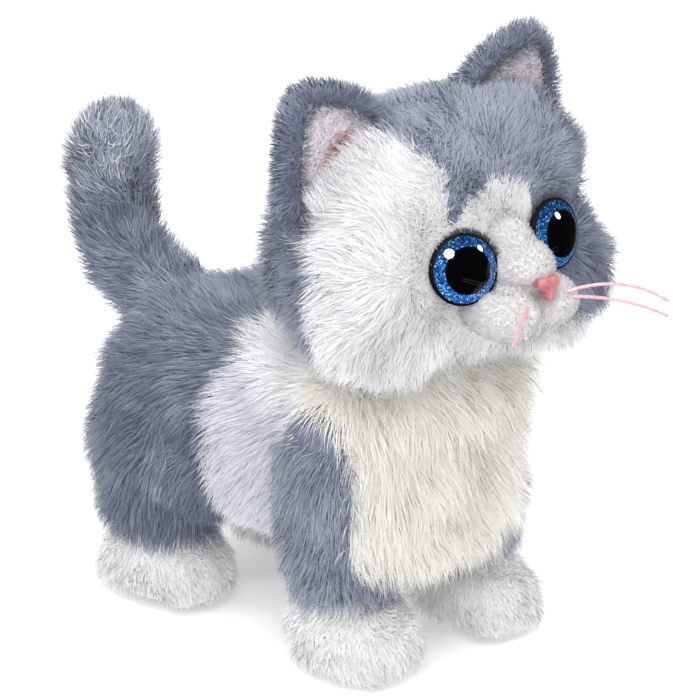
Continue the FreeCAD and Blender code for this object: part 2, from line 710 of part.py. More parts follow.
node(fuse(back_clear, *lugs), "head_shell_back")


def eye(side, label):
    """A domed eye with its post, turned on a lathe profile."""
    body = doc.addObject("PartDesign::Body", label + "_body")
    s = sketch_on(body, "XZ_Plane", label + "_profile")
    r, pr = D["eye_r"], D["eye_post_r"]
    pts = [(0, -9.0), (pr, -9.0), (pr, 0), (r, 0), (r, 1.4)]
    ids = []
    for k in range(len(pts) - 1):
        ids.append(s.addGeometry(Part.LineSegment(V(*pts[k], 0), V(*pts[k + 1], 0)), False))
    rise = 4.8
    ball_r = (r * r + rise * rise) / (2 * rise)
    low = 1.4 + rise - ball_r
    mid = math.asin(r / ball_r) / 2
    arc = Part.Arc(V(r, 1.4, 0), V(ball_r * math.sin(mid), low + ball_r * math.cos(mid), 0),
                   V(0, low + ball_r, 0))
    ids.append(s.addGeometry(arc, False))
    ids.append(s.addGeometry(Part.LineSegment(V(0, low + ball_r, 0), V(0, -9.0, 0)), False))
    for i in ids:
        s.addConstraint(Sketcher.Constraint("Block", i))
    rev = body.newObject("PartDesign::Revolution", label + "_turned")
    rev.Profile = s
    rev.ReferenceAxis = (s, ["V_Axis"])
    rev.Angle = 360
    doc.recompute()
    n, rot = eye_frame(side)
    body.Placement = FreeCAD.Placement(V(side * r * 0 + side * D["eye_x"], D["eye_y"], D["eye_z"]), rot)
    return node(body, label)


eye(1, "eye_left")
eye(-1, "eye_right")
washers = []
for side in (1, -1):
    washers.append(cut(eye_tool(side, 5.0, -11.6, -10.4), eye_tool(side, "eye_post_r", -12, -9)))
    washers.append(cut(eye_tool(side, 3.6, -10.4, -8.9), eye_tool(side, "eye_post_r", -12, -8)))
pairs = [fuse(washers[0], washers[1]), fuse(washers[2], washers[3])]
wash_trim = egg(0, "head_y", "head_z", "shell_rx-wall-0.05", "shell_ry-wall-0.05",
                "shell_rz-wall-0.05")
node(group(*[common(p, wash_trim) for p in pairs]), "eye_washers")

muzzle_raw = fuse(egg(8.0, -88.0, 137.0, 10.5, 13.5, 11.2), egg(-8.0, -88.0, 137.0, 10.5, 13.5, 11.2),
                  egg(0, -85.0, 129.5, 9.5, 11.0, 8.0))
nose_raw = egg(0, -98.6, 142.2, 4.6, 3.2, 4.0)
muzzle = cut(muzzle_raw, head_egg, eye_tool(1, "eye_r+0.1", -2, 25),
             eye_tool(-1, "eye_r+0.1", -2, 25), nose_raw)
node(muzzle, "muzzle_plush")
node(egg(0, -98.6, 142.2, 4.6, 3.2, 4.0), "nose")


def whisker(side, drop):
    d = V(side * 25.0, -20.0, drop)
    d.normalize()
    c = doc.addObject("Part::Cylinder", name_of("whisker"))
    put(c, "Radius", "whisker_r")
    put(c, "Height", "whisker_length")
    root = V(side * 9.6, -98.6, 137.6 if drop > -4 else 135.4)
    c.Placement = FreeCAD.Placement(root, FreeCAD.Rotation(V(0, 0, 1), d))
    return c


whisk = [cut(whisker(s, d), muzzle_raw) for s in (1, -1) for d in (-1.0, -6.5)]
node(group(*whisk), "whiskers")


def ear_body(label, y0, depth, inset, sign):
    """An ear panel: rounded triangle on the XZ plane."""
    body = doc.addObject("PartDesign::Body", label)
    s = sketch_on(body, "XZ_Plane", label + "_outline")
    k = inset
    pts = [(14 + k, 171), (58 - k, 150), (58.5 - k * 0.9, 169), (55.5 - k, 187), (52.0 - k, 198.0 - k * 0.9),
           (48.0 - k * 0.5, 201.5 - k), (43.0, 201.0 - k * 1.2), (29.0 + k * 0.4, 195.0 - k * 1.5),
           (17.0 + k, 190.0 - k)]
    pts = [(sign * a, b) for a, b in pts]
    polygon(s, pts)
    pad = body.newObject("PartDesign::Pad", label + "_pad")
    pad.Profile = s
    pad.Length = depth
    doc.recompute()
    body.Placement = FreeCAD.Placement(V(0, y0, 0), FreeCAD.Rotation())
    return body


# the pad of an XZ sketch grows towards -Y
linings = []
for sign, tag in ((1, "left"), (-1, "right")):
    outer = ear_body("ear_%s_panel" % tag, -42.0, 8.0, 0.0, sign)
    scoop = ear_body("ear_%s_scoop" % tag, -47.0, 6.0, 5.0, sign)
    node(cut(outer, scoop, head_egg), "ear_" + tag)
    lining = ear_body("ear_%s_lining" % tag, -47.0, 3.0, 5.0, sign)
    linings.append(cut(lining, head_egg))
node(group(*linings), "ear_linings")

# ---------------------------------------------------------------- plush trunk
torso_block = rounded(box("-torso_half", "torso_half", "torso_front", "torso_rear",
                          "torso_base", "torso_top"), "torso_round")
tools = [box("-house_half-0.3", "house_half+0.3", "house_front-0.3", "house_rear+0.3",
             "house_base-0.3", "house_top+0.3"),
         egg(0, "head_y", "head_z", "head_rx+head_gap", "head_ry+head_gap", "head_rz+head_gap"),
         box(-15, 15, "neck_y-15", "neck_y+18", 95, 120),
         rod("z", "button_r+0.8", 97, 102.8, 0, "button_y"),
         rod("y", 17.5, "house_rear-1", 90, 0, "tail_start_z"),
         box("-(flap_half+0.4)", "flap_half+0.4", "flap_front-0.4", "flap_rear+0.4", 25, 34.5),
         box("-(flap_half+0.4)", 6.8, "flap_front-0.4", "flap_rear+0.4", 25, 40)]
for side in (1, -1):
    tools.append(box(21, 37.4, -46, 48, 52, 84, side))
    for f, p in (("leg_front", "paw_front"), ("leg_rear", "paw_rear")):
        tools.append(rod("x", "thigh_r+1.0", 22.0, 60, f, "leg_pivot_height", side))
        tools.append(box(14.2, 60, "%s-33" % p, "%s+32" % p, 20, 39.0, side))
        tools.append(box(22.2, 60, "%s-27" % p, "%s+27" % p, 30, 54.5, side))
torso = cut(torso_block, *tools)
node(torso, "torso_plush")
bib = rounded(box(-33, 33, "torso_front-7", "torso_front-0.1", 38.5, 97), 3.2)
bib_low = cut(bib, egg(0, "head_y", "head_z", "head_rx+head_gap", "head_ry+head_gap",
                       "head_rz+head_gap"))
bib_side = [box(22.0, 60, "paw_front-31", "paw_front+29", 20, 57.0, s) for s in (1, -1)]
node(cut(bib_low, *bib_side), "chest_bib")
flap = rounded(box("-flap_half", "flap_half", "flap_front", "flap_rear", 31.0, 33.4), 1.0)
node(flap, "belly_flap")
node(box(7.0, 11.0, "flap_front+4", "flap_rear-4", 33.4, 33.9), "belly_hook_tape")
node(box(7.0, 11.0, "flap_front+4", "flap_rear-4", 34.0, 34.5), "belly_loop_tape")

# ---------------------------------------------------------------- check and write
doc.recompute()
bad = []
for obj in doc.Objects:
    if "Invalid" in obj.State or "Error" in obj.State:
        bad.append("%s (%s): %s" % (obj.Name, obj.Label, obj.State))
for obj in NODES:
    if obj.Shape.isNull() or not obj.Shape.isValid() or not obj.Shape.Solids:
        bad.append("%s: bad shape" % obj.Label)
if bad:
    raise RuntimeError("; ".join(bad))

os.makedirs("parts", exist_ok=True)
total = FreeCAD.BoundBox()
for obj in NODES:
    obj.Shape.exportStep("parts/%s.step" % obj.Label)
    bb = obj.Shape.BoundBox
    total.add(bb)
    print("%-22s solids %d  vol %9.1f  x %7.2f %7.2f  y %7.2f %7.2f  z %7.2f %7.2f" % (
        obj.Label, len(obj.Shape.Solids), obj.Shape.Volume,
        bb.XMin, bb.XMax, bb.YMin, bb.YMax, bb.ZMin, bb.ZMax))
print(len(NODES), "nodes; box", total)
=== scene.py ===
import math

import bpy
import numpy as np
from mathutils import Matrix, Vector, kdtree


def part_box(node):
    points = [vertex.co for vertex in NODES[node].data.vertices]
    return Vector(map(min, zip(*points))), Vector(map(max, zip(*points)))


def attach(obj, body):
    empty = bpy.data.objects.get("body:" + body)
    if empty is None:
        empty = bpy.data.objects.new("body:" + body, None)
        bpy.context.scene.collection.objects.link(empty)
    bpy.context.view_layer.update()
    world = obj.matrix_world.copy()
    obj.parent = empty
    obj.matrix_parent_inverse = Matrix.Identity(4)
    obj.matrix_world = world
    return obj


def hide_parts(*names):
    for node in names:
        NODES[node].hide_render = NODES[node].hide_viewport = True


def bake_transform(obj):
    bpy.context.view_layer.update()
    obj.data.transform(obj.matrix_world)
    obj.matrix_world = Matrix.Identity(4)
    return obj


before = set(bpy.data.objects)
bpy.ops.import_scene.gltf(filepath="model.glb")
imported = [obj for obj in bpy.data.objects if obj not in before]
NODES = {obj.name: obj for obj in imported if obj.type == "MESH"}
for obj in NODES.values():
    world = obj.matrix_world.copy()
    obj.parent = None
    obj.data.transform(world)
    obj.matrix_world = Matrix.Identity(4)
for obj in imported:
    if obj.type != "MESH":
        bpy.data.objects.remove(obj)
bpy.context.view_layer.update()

lo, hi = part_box("crankshaft")
SH = 1000.0 * (lo.y + hi.y) / 2.0          # the crankshaft lies at Y = 0 of the design
DROP = 72.0 - 1000.0 * (lo.z + hi.z) / 2.0   # and at Z = 72; the floor of the design is at Z = DROP
MM = 0.001
scene = bpy.context.scene


def P(x, y, z):
    """Design millimetres to metres in the row frame."""
    return Vector((x * MM, (y + SH) * MM, (z - DROP) * MM))


def srgb(r, g, b):
    out = []
    for c in (r, g, b):
        c = c / 255.0
        out.append(c / 12.92 if c <= 0.04045 else ((c + 0.055) / 1.055) ** 2.4)
    return tuple(out) + (1.0,)


# ------------------------------------------------------------------ camera, light, floor
AZ, EL = math.radians(-43.6), math.radians(20.4)
BACK = np.array([math.sin(AZ) * math.cos(EL), -math.cos(AZ) * math.cos(EL), math.sin(EL)])
RIGHT = np.array([math.cos(AZ), math.sin(AZ), 0.0])
UP = np.cross(BACK, RIGHT)
DIST = 1.7
PX = 0.3185 * MM
aim = np.array(P(0, 0, 90)) + RIGHT * 31.6 * PX + UP * 12.9 * PX

cam_data = bpy.data.cameras.new("camera")
cam_data.sensor_width = 36.0
cam_data.lens = 36.0 * DIST / (700 * PX)
cam_data.clip_start, cam_data.clip_end = 0.01, 50
cam = bpy.data.objects.new("camera", cam_data)
scene.collection.objects.link(cam)
rot = Matrix((RIGHT, UP, BACK)).transposed()
cam.matrix_world = Matrix.Translation(Vector(aim + BACK * DIST)) @ rot.to_4x4()
scene.camera = cam

world = bpy.data.worlds.new("studio")
scene.world = world
world.use_nodes = True
wt = world.node_tree
bg = wt.nodes["Background"]
bg.inputs[0].default_value = (1.0, 1.0, 1.0, 1.0)
bg.inputs[1].default_value = 0.90
dim = wt.nodes.new("ShaderNodeBackground")          # what glossy surfaces mirror of the room
dim.inputs[0].default_value = (1.0, 1.0, 1.0, 1.0)
dim.inputs[1].default_value = 0.03
path = wt.nodes.new("ShaderNodeLightPath")
mixw = wt.nodes.new("ShaderNodeMixShader")
wt.links.new(path.outputs["Is Glossy Ray"], mixw.inputs["Fac"])
wt.links.new(bg.outputs[0], mixw.inputs[1])
wt.links.new(dim.outputs[0], mixw.inputs[2])
wt.links.new(mixw.outputs[0], wt.nodes["World Output"].inputs["Surface"])
scene.view_settings.view_transform = "Standard"
scene.view_settings.look = "None"
scene.view_settings.exposure = 0.0


def disk_light(name, direction, distance, size, power):
    d = Vector(direction).normalized()
    data = bpy.data.lights.new(name, "AREA")
    data.shape = "DISK"
    data.size = size
    data.energy = power
    ob = bpy.data.objects.new(name, data)
    ob.matrix_world = Matrix.Translation(Vector(P(0, -30, 110)) + d * distance) @ \
        d.to_track_quat("Z", "Y").to_matrix().to_4x4()
    scene.collection.objects.link(ob)
    return ob


key_dir = BACK * 0.898 + UP * 0.434 - RIGHT * 0.054
flash = disk_light("flash", key_dir, 1.15, 0.52, 3.9)
spark = disk_light("spark", key_dir, 1.16, 0.46, 56.0)           # the round lights mirrored in the eyes
spark_small = disk_light("spark_small", RIGHT * 0.854 + UP * 0.505 + BACK * 0.119, 1.21, 0.25, 16.0)
top = disk_light("top_box", (-0.35, -0.15, 1.0), 1.2, 1.0, 4.0)
right = disk_light("right_box", RIGHT * 0.797 + UP * 0.591 - BACK * 0.126, 1.2, 0.26, 2.0)
left = disk_light("left_box", BACK * 0.35 - RIGHT * 0.95 + UP * 0.25, 1.5, 0.9, 3.4)
for lamp in (flash, top, left, right):
    lamp.visible_glossy = False
for lamp in (spark, spark_small):
    lamp.visible_diffuse = False

floor_mesh = bpy.data.meshes.new("floor")
s = 6.0
floor_mesh.from_pydata([(-s, -s, 0), (s, -s, 0), (s, s, 0), (-s, s, 0)], [], [(0, 1, 2, 3)])
floor = bpy.data.objects.new("floor", floor_mesh)
floor.location.z = -0.0002
floor.visible_glossy = False
scene.collection.objects.link(floor)


# ------------------------------------------------------------------ materials
def new_mat(name):
    m = bpy.data.materials.new(name)
    m.use_nodes = True
    return m, m.node_tree, m.node_tree.nodes["Principled BSDF"]


def set_in(bsdf, **kw):
    for k, v in kw.items():
        bsdf.inputs[k.replace("_", " ")].default_value = v


fm, ft, fb = new_mat("floor_paint")
set_in(fb, Base_Color=(0.90, 0.90, 0.90, 1), Roughness=0.9, Emission_Color=(1, 1, 1, 1), Emission_Strength=0.20)
floor_mesh.materials.append(fm)


def glowing_pile_mat(name, colour, rough=0.95, sheen=0.35):
    """One tone of pile fibre, with a painted glow: a weak emission in its own colour that lifts the shade between
    fibres.
    """
    m, t, b = new_mat(name)
    # the emission is painted light: a glow in the fibre's own colour that brightens the shaded pile
    set_in(b, Base_Color=colour, Roughness=rough, Sheen_Weight=sheen, Sheen_Roughness=0.5,
           Specular_IOR_Level=0.04, Emission_Color=colour, Emission_Strength=0.12)
    return m


def cloth_mat(name, dark, light, scale=900.0, bump=0.4, rough=0.95, patch=60.0):
    """Backing cloth with a fine knit, soft blotches and bump."""
    m, t, b = new_mat(name)
    n, l = t.nodes, t.links
    co = n.new("ShaderNodeTexCoord")
    fine = n.new("ShaderNodeTexNoise")
    fine.inputs["Scale"].default_value = scale
    fine.inputs["Detail"].default_value = 3
    wide = n.new("ShaderNodeTexNoise")
    wide.inputs["Scale"].default_value = patch
    wide.inputs["Detail"].default_value = 4
    l.new(co.outputs["Object"], fine.inputs["Vector"])
    l.new(co.outputs["Object"], wide.inputs["Vector"])
    add = n.new("ShaderNodeMath")
    add.operation = "ADD"
    half = n.new("ShaderNodeMath")
    half.operation = "MULTIPLY"
    half.inputs[1].default_value = 0.5
    l.new(fine.outputs["Fac"], add.inputs[0])
    l.new(wide.outputs["Fac"], add.inputs[1])
    l.new(add.outputs[0], half.inputs[0])
    ramp = n.new("ShaderNodeValToRGB")
    ramp.color_ramp.elements[0].position = 0.36
    ramp.color_ramp.elements[0].color = dark
    ramp.color_ramp.elements[1].position = 0.64
    ramp.color_ramp.elements[1].color = light
    l.new(half.outputs[0], ramp.inputs["Fac"])
    l.new(ramp.outputs["Color"], b.inputs["Base Color"])
    bp = n.new("ShaderNodeBump")
    bp.inputs["Strength"].default_value = bump
    bp.inputs["Distance"].default_value = 0.0004
    l.new(fine.outputs["Fac"], bp.inputs["Height"])
    l.new(bp.outputs["Normal"], b.inputs["Normal"])
    set_in(b, Roughness=rough, Sheen_Weight=0.3, Specular_IOR_Level=0.2)
    return m


GREY = [glowing_pile_mat("pile_grey_%d" % i, srgb(*c)) for i, c in enumerate(
    [(84, 89, 110), (99, 104, 125), (114, 120, 140), (132, 138, 157), (156, 162, 178)])]
WHITE = [glowing_pile_mat("pile_white_%d" % i, srgb(*c)) for i, c in enumerate(
    [(214, 214, 216), (225, 225, 227), (233, 233, 235), (241, 241, 243)])]
CREAM = [glowing_pile_mat("pile_cream_%d" % i, srgb(*c)) for i, c in enumerate(
    [(220, 217, 210), (231, 229, 222), (239, 237, 232), (246, 245, 241)])]
LILAC = [glowing_pile_mat("pile_lilac_%d" % i, srgb(*c)) for i, c in enumerate(
    [(190, 190, 201), (205, 205, 214), (218, 218, 225), (232, 232, 237)])]
# short pile of the muzzle: painted a greyer white than the white coat, painted shade against the front light the muzzle
# faces
SHORT = [glowing_pile_mat("pile_short_%d" % i, srgb(*c)) for i, c in enumerate(
    [(174, 171, 174), (186, 183, 186), (197, 195, 197)])]
ALL = GREY + WHITE + CREAM + LILAC + SHORT
G0, W0, C0, L0 = 0, 5, 9, 13
BACK_GREY = cloth_mat("backing_grey", srgb(82, 87, 108), srgb(116, 122, 144))
BACK_WHITE = cloth_mat("backing_white", srgb(204, 203, 202), srgb(232, 231, 230))


# ------------------------------------------------------------------ noise
def hash3(i, j, k, seed):
    h = (i * 374761393 + j * 668265263 + k * 2147483647 + seed * 1274126177) & 0xFFFFFFFF
    h = ((h ^ (h >> 13)) * 1274126177) & 0xFFFFFFFF
    h = h ^ (h >> 16)
    return (h & 0xFFFF) / 65535.0


def noise(p, size, seed=0):
    """Smooth value noise from 0 to 1 on points in millimetres."""
    q = np.asarray(p) / size + 1000.0
    i = np.floor(q).astype(np.int64)
    f = q - i
    f = f * f * (3 - 2 * f)
    out = 0.0
    for dx in (0, 1):
        for dy in (0, 1):
            for dz in (0, 1):
                w = (f[:, 0] if dx else 1 - f[:, 0]) * (f[:, 1] if dy else 1 - f[:, 1]) * \
                    (f[:, 2] if dz else 1 - f[:, 2])
                out = out + w * hash3(i[:, 0] + dx, i[:, 1] + dy, i[:, 2] + dz, seed)
    return out


def unit(v):
    return v / np.maximum(np.linalg.norm(v, axis=1, keepdims=True), 1e-9)


def smooth(a, b, x):
    t = np.clip((x - a) / (b - a), 0, 1)
    return t * t * (3 - 2 * t)


# ------------------------------------------------------------------ skins
def super_mesh(centre, radii, power=2.0, turn=None, n=28):
    """Vertices and faces of a closed superellipsoid, in millimetres."""
    verts, faces = [], []
    e = 2.0 / power

    def sp(v):
        return math.copysign(abs(v) ** e, v)

    R = Matrix.Rotation(math.radians(turn[1]), 3, turn[0]) if turn else Matrix.Identity(3)
    rows = n // 2
    for a in range(1, rows):
        th = -math.pi / 2 + math.pi * a / rows
        for b in range(n):
            ph = 2 * math.pi * b / n
            v = Vector((radii[0] * sp(math.cos(th)) * sp(math.cos(ph)),
                        radii[1] * sp(math.cos(th)) * sp(math.sin(ph)), radii[2] * sp(math.sin(th))))
            verts.append(tuple(R @ v + Vector(centre)))
    verts.append(tuple(R @ Vector((0, 0, -radii[2])) + Vector(centre)))
    verts.append(tuple(R @ Vector((0, 0, radii[2])) + Vector(centre)))
    south, north = len(verts) - 2, len(verts) - 1
    for a in range(rows - 2):
        for b in range(n):
            c = (b + 1) % n
            faces.append((a * n + b, a * n + c, (a + 1) * n + c, (a + 1) * n + b))
    for b in range(n):
        c = (b + 1) % n
        faces.append((south, c, b))
        faces.append((north, (rows - 2) * n + b, (rows - 2) * n + c))
    return verts, faces


def skin(name, prims, voxel=2.0, passes=14, lump=0.5):
    """Joins closed forms into one stuffed skin: voxel union, smoothing, soft lumps."""
    verts, faces = [], []
    for p in prims:
        v, f = super_mesh(*p[:2], **(p[2] if len(p) > 2 else {}))
        base = len(verts)
        verts += v
        faces += [tuple(base + i for i in q) for q in f]
    me = bpy.data.meshes.new(name)
    me.from_pydata([tuple(P(*v)) for v in verts], [], faces)
    ob = bpy.data.objects.new(name, me)
    scene.collection.objects.link(ob)
    rm = ob.modifiers.new("r", "REMESH")
    rm.mode = "VOXEL"
    rm.voxel_size = voxel * MM
    sm = ob.modifiers.new("s", "SMOOTH")
    sm.factor = 0.5
    sm.iterations = passes
    bpy.context.view_layer.update()
    done = bpy.data.meshes.new_from_object(ob.evaluated_get(bpy.context.evaluated_depsgraph_get()))
    ob.modifiers.clear()
    ob.data = done
    done.name = name
    if lump:
        co, nm = mesh_points(done)
        d = (noise(co, 14.0, 3) - 0.5) * 2 * lump
        co = co + nm * d[:, None]
        set_points(done, co)
    done.shade_smooth()
    return ob


def mesh_points(me):
    """Vertices in design millimetres and their normals."""
    n = len(me.vertices)
    co = np.zeros(n * 3, np.float32)
    me.vertices.foreach_get("co", co)
    nm = np.zeros(n * 3, np.float32)
    me.vertices.foreach_get("normal", nm)
    co = co.reshape(-1, 3).astype(float) / MM
    co[:, 1] -= SH
    co[:, 2] += DROP
    return co, nm.reshape(-1, 3).astype(float)


def set_points(me, co):
    c = np.array(co, float).copy()
    c[:, 1] += SH
    c[:, 2] -= DROP
    me.vertices.foreach_set("co", (c * MM).astype(np.float32).ravel())
    me.update()


def triangles(me):
    me.calc_loop_triangles()
    t = np.zeros(len(me.loop_triangles) * 3, np.int32)
    me.loop_triangles.foreach_get("vertices", t)
    return t.reshape(-1, 3)


def scatter(me, density, rng, keep=None):
    """Roots and normals on a skin, density per square millimetre, kept where keep says so."""
    co, nm = mesh_points(me)
    t = triangles(me)
    a, b, c = co[t[:, 0]], co[t[:, 1]], co[t[:, 2]]
    area = 0.5 * np.linalg.norm(np.cross(b - a, c - a), axis=1)
    mid = (a + b + c) / 3
    mn = unit(nm[t].mean(1))
    dens = density(mid, mn) if callable(density) else np.full(len(t), float(density))
    want = area * dens
    count = np.floor(want + rng.random(len(t))).astype(int)
    idx = np.repeat(np.arange(len(t)), count)
    u, v = rng.random(len(idx)), rng.random(len(idx))
    flip = u + v > 1
    u[flip], v[flip] = 1 - u[flip], 1 - v[flip]
    w = 1 - u - v
    p = a[idx] * w[:, None] + b[idx] * u[:, None] + c[idx] * v[:, None]
    n = unit(nm[t[idx, 0]] * w[:, None] + nm[t[idx, 1]] * u[:, None] + nm[t[idx, 2]] * v[:, None])
    if keep is not None:
        k = keep(p, n)
        p, n = p[k], n[k]
    return p, n


def clump_pull(p, tips, rng, share, spacing):
    """Pulls tips together towards the tip of the nearest clump leader."""
    n = len(p)
    if n < 50:
        return tips, np.zeros(n, int)
    lead = rng.choice(n, max(8, int(n / spacing)), replace=False)
    tree = kdtree.KDTree(len(lead))
    for i, k in enumerate(lead):
        tree.insert(p[k], i)
    tree.balance()
    near = np.array([tree.find(q)[1] for q in p])
    target = tips[lead[near]]
    return tips + (target - tips) * share, near


COUNT = []


def fur(name, p, n, length, comb, shade, width=0.5, lay=0.45, jitter=0.22, clump=0.35,
        spacing=9.0, curl=0.12, droop=0.1, segments=2, seed=1, smoothn=0.86):
    """Pile fibres as thin tapering ribbons. shade gives (base slot, shades, tone from 0 to 1)."""
    rng = np.random.default_rng(seed)
    m = len(p)
    L = length(p, n) if callable(length) else np.full(m, float(length))
    L = L * (0.78 + 0.44 * rng.random(m))
    c = comb(p, n) if callable(comb) else np.tile(np.array(comb, float), (m, 1))
    c = c - n * (c * n).sum(1, keepdims=True)
    c = unit(c + 1e-6)
    la = lay(p, n) if callable(lay) else np.full(m, float(lay))
    swirl = np.stack([noise(p, 9.0, 11 + k) - 0.5 for k in range(3)], 1) * 2
    d0 = unit(n * (1 - 0.75 * la)[:, None] + c * (0.75 * la)[:, None] +
              rng.normal(0, jitter, (m, 3)) + swirl * curl * 2)
    out = (d0 * n).sum(1)
    d0 = unit(d0 + n * np.maximum(0, 0.12 - out)[:, None])
    d1 = unit(d0 + c * (la * 0.8)[:, None] + swirl * curl + np.array([0, 0, -droop]))
    d2 = unit(d1 + c * (la * 0.7)[:, None] + swirl * curl + np.array([0, 0, -droop]))
    root = p - n * 0.4
    q1 = root + d0 * (L / 3)[:, None]
    q2 = q1 + d1 * (L / 3)[:, None]
    q3 = q2 + d2 * (L / 3)[:, None]
    if clump > 0:
        tip, near = clump_pull(p, q3, rng, clump, spacing)
        pull = tip - q3
        q3 = tip
        q2 = q2 + pull * 0.55
        q1 = q1 + pull * 0.18
    else:
        near = np.zeros(m, int)
    # no fibre sinks under its own skin
    for q, low in ((q2, 0.12), (q3, 0.2)):
        h = ((q - p) * n).sum(1)
        lift = np.maximum(0, low * L - h)
        q += n * lift[:, None]
    axis = unit(q3 - root)
    side = np.cross(axis, n + rng.normal(0, 0.55, (m, 3)))
    side = unit(side)
    w = width * (0.75 + 0.5 * rng.random(m)) * 0.5
    rows = []
    if segments == 3:
        pts = [(root, 1.0), (q1, 0.95), (q2, 0.7), (q3, 0.0)]
    else:
        pts = [(root, 1.0), ((q1 + q2) / 2, 0.85), (q3, 0.0)]
    rows_n = len(pts)
    per = (rows_n - 1) * 2 + 1
    co = np.zeros((m, per, 3))
    for k, (q, s_) in enumerate(pts[:-1]):
        co[:, 2 * k] = q - side * (w * s_)[:, None]
        co[:, 2 * k + 1] = q + side * (w * s_)[:, None]
    co[:, -1] = pts[-1][0]
    face_n = np.cross(side, axis)
    flipped = (face_n * n).sum(1) < 0
    sw = co[flipped]
    if len(sw):
        a = sw.copy()
        for k in range(rows_n - 1):
            sw[:, 2 * k], sw[:, 2 * k + 1] = a[:, 2 * k + 1], a[:, 2 * k]
        co[flipped] = sw
    base = (np.arange(m) * per)[:, None]
    quads = []
    for k in range(rows_n - 2):
        quads.append(base + np.array([[2 * k, 2 * k + 1, 2 * k + 3, 2 * k + 2]]))
    tri = base + np.array([[per - 3, per - 2, per - 1]])
    nq = rows_n - 2
    # loops: per strand, the quads then the triangle
    loops = np.concatenate([np.concatenate(quads, 1), tri], 1).reshape(-1)
    per_faces = nq + 1
    starts_one = np.array([4 * k for k in range(nq)] + [4 * nq])
    totals_one = np.array([4] * nq + [3])
    starts = ((np.arange(m) * (4 * nq + 3))[:, None] + starts_one[None]).reshape(-1)
    COUNT.append((name, m))
    me = bpy.data.meshes.new(name)
    me.vertices.add(m * per)
    c2 = co.reshape(-1, 3).copy()
    c2[:, 1] += SH
    c2[:, 2] -= DROP
    me.vertices.foreach_set("co", (c2 * MM).astype(np.float32).ravel())
    me.loops.add(len(loops))
    me.loops.foreach_set("vertex_index", loops.astype(np.int32))
    me.polygons.add(m * per_faces)
    me.polygons.foreach_set("loop_start", starts.astype(np.int32))
    try:
        me.polygons.foreach_set("loop_total", np.tile(totals_one, m).astype(np.int32))
    except Exception:
        pass
    slot, shades, tone = shade(p, n, near, rng)
    tone = np.clip(tone, 0, 0.999)
    mats = np.zeros((m, per_faces), np.int32)
    for k in range(per_faces):
        along = (k + 0.5) / per_faces
        # tone rises from root to tip: each fibre is painted darker at the root and lighter at the tip, painted shade
        # deep in the pile
        tk = np.clip(tone + (along - 0.55) * 0.26, 0, 0.999)
        mats[:, k] = slot + np.floor(tk * shades).astype(int)
    used = np.unique(mats)
    remap = np.zeros(used.max() + 1, np.int32)
    for i, u in enumerate(used):
        remap[u] = i
        me.materials.append(ALL[u])
    me.polygons.foreach_set("material_index", remap[mats].reshape(-1))
    me.polygons.foreach_set("use_smooth", np.ones(m * per_faces, bool))
    me.update(calc_edges=True)
    me.validate(clean_customdata=False)
    tipdir = unit(axis - n * (axis * n).sum(1, keepdims=True) + 1e-6)
    vn = np.zeros((m, per, 3))
    fn = np.where(flipped[:, None], -face_n, face_n)
    mixn = unit(n * smoothn + unit(fn) * (1 - smoothn))
    vn[:] = mixn[:, None, :]
    me.normals_split_custom_set_from_vertices(vn.reshape(-1, 3).astype(np.float32))
    ob = bpy.data.objects.new(name, me)
    scene.collection.objects.link(ob)
    return ob


def give(ob, mat):
    ob.data.materials.clear()
    ob.data.materials.append(mat)
    return ob




def place(ob, body=None, blend=None, replaces=()):
    if body:
        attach(ob, body)
    if blend:
        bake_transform(ob)
    if replaces:
        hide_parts(*replaces)
    return ob


def face_points(me):
    n = len(me.polygons)
    c = np.zeros(n * 3, np.float32)
    me.polygons.foreach_get("center", c)
    nm = np.zeros(n * 3, np.float32)
    me.polygons.foreach_get("normal", nm)
    c = c.reshape(-1, 3).astype(float) / MM
    c[:, 1] -= SH
    c[:, 2] += DROP
    return c, nm.reshape(-1, 3).astype(float)


def paint(ob, mats, pick):
    """Gives each face of a skin the backing cloth that pick names."""
    ob.data.materials.clear()
    for m in mats:
        ob.data.materials.append(m)
    c, n = face_points(ob.data)
    ob.data.polygons.foreach_set("material_index", pick(c, n).astype(np.int32))
    ob.data.update()


def tones(p, near, rng, size=8.0, seed=5, centre=0.5, patch=0.42, lock=0.16, single=0.12):
    """Tone of each fibre: broad patches, the lock it lies in, and its own difference."""
    lk = ((near.astype(np.int64) * 2654435761) % 1009) / 1009.0 - 0.5
    return centre + (noise(p, size, seed) - 0.5) * patch + \
        (noise(p, size * 0.35, seed + 1) - 0.5) * patch * 0.6 + lk * lock + \
        rng.normal(0, single, len(p))


PAL = {0: (G0, 5), 1: (W0, 4), 2: (C0, 4), 3: (L0, 4), 4: (17, 3)}


def shader_for(kind, centre=None, **kw):
    """kind(p, n) gives 0 grey, 1 white, 2 cream, 3 lilac; centre(p, n) the mean tone."""
    def shade(p, n, near, rng):
        k = kind(p, n)
        t = tones(p, near, rng, **kw)
        if centre is not None:
            t = t + centre(p, n) - 0.5
        slot = np.zeros(len(p), int)
        count = np.zeros(len(p), int)
        for key, (s0, cnt) in PAL.items():
            slot[k == key] = s0
            count[k == key] = cnt
        return slot, count, t
    return shade


def rag(p, amount, seed=31):
    """Uneven edge between two colours, in millimetres."""
    return (noise(p, 9.0, seed) - 0.5) * amount * 1.4 + (noise(p, 3.0, seed + 1) - 0.5) * amount


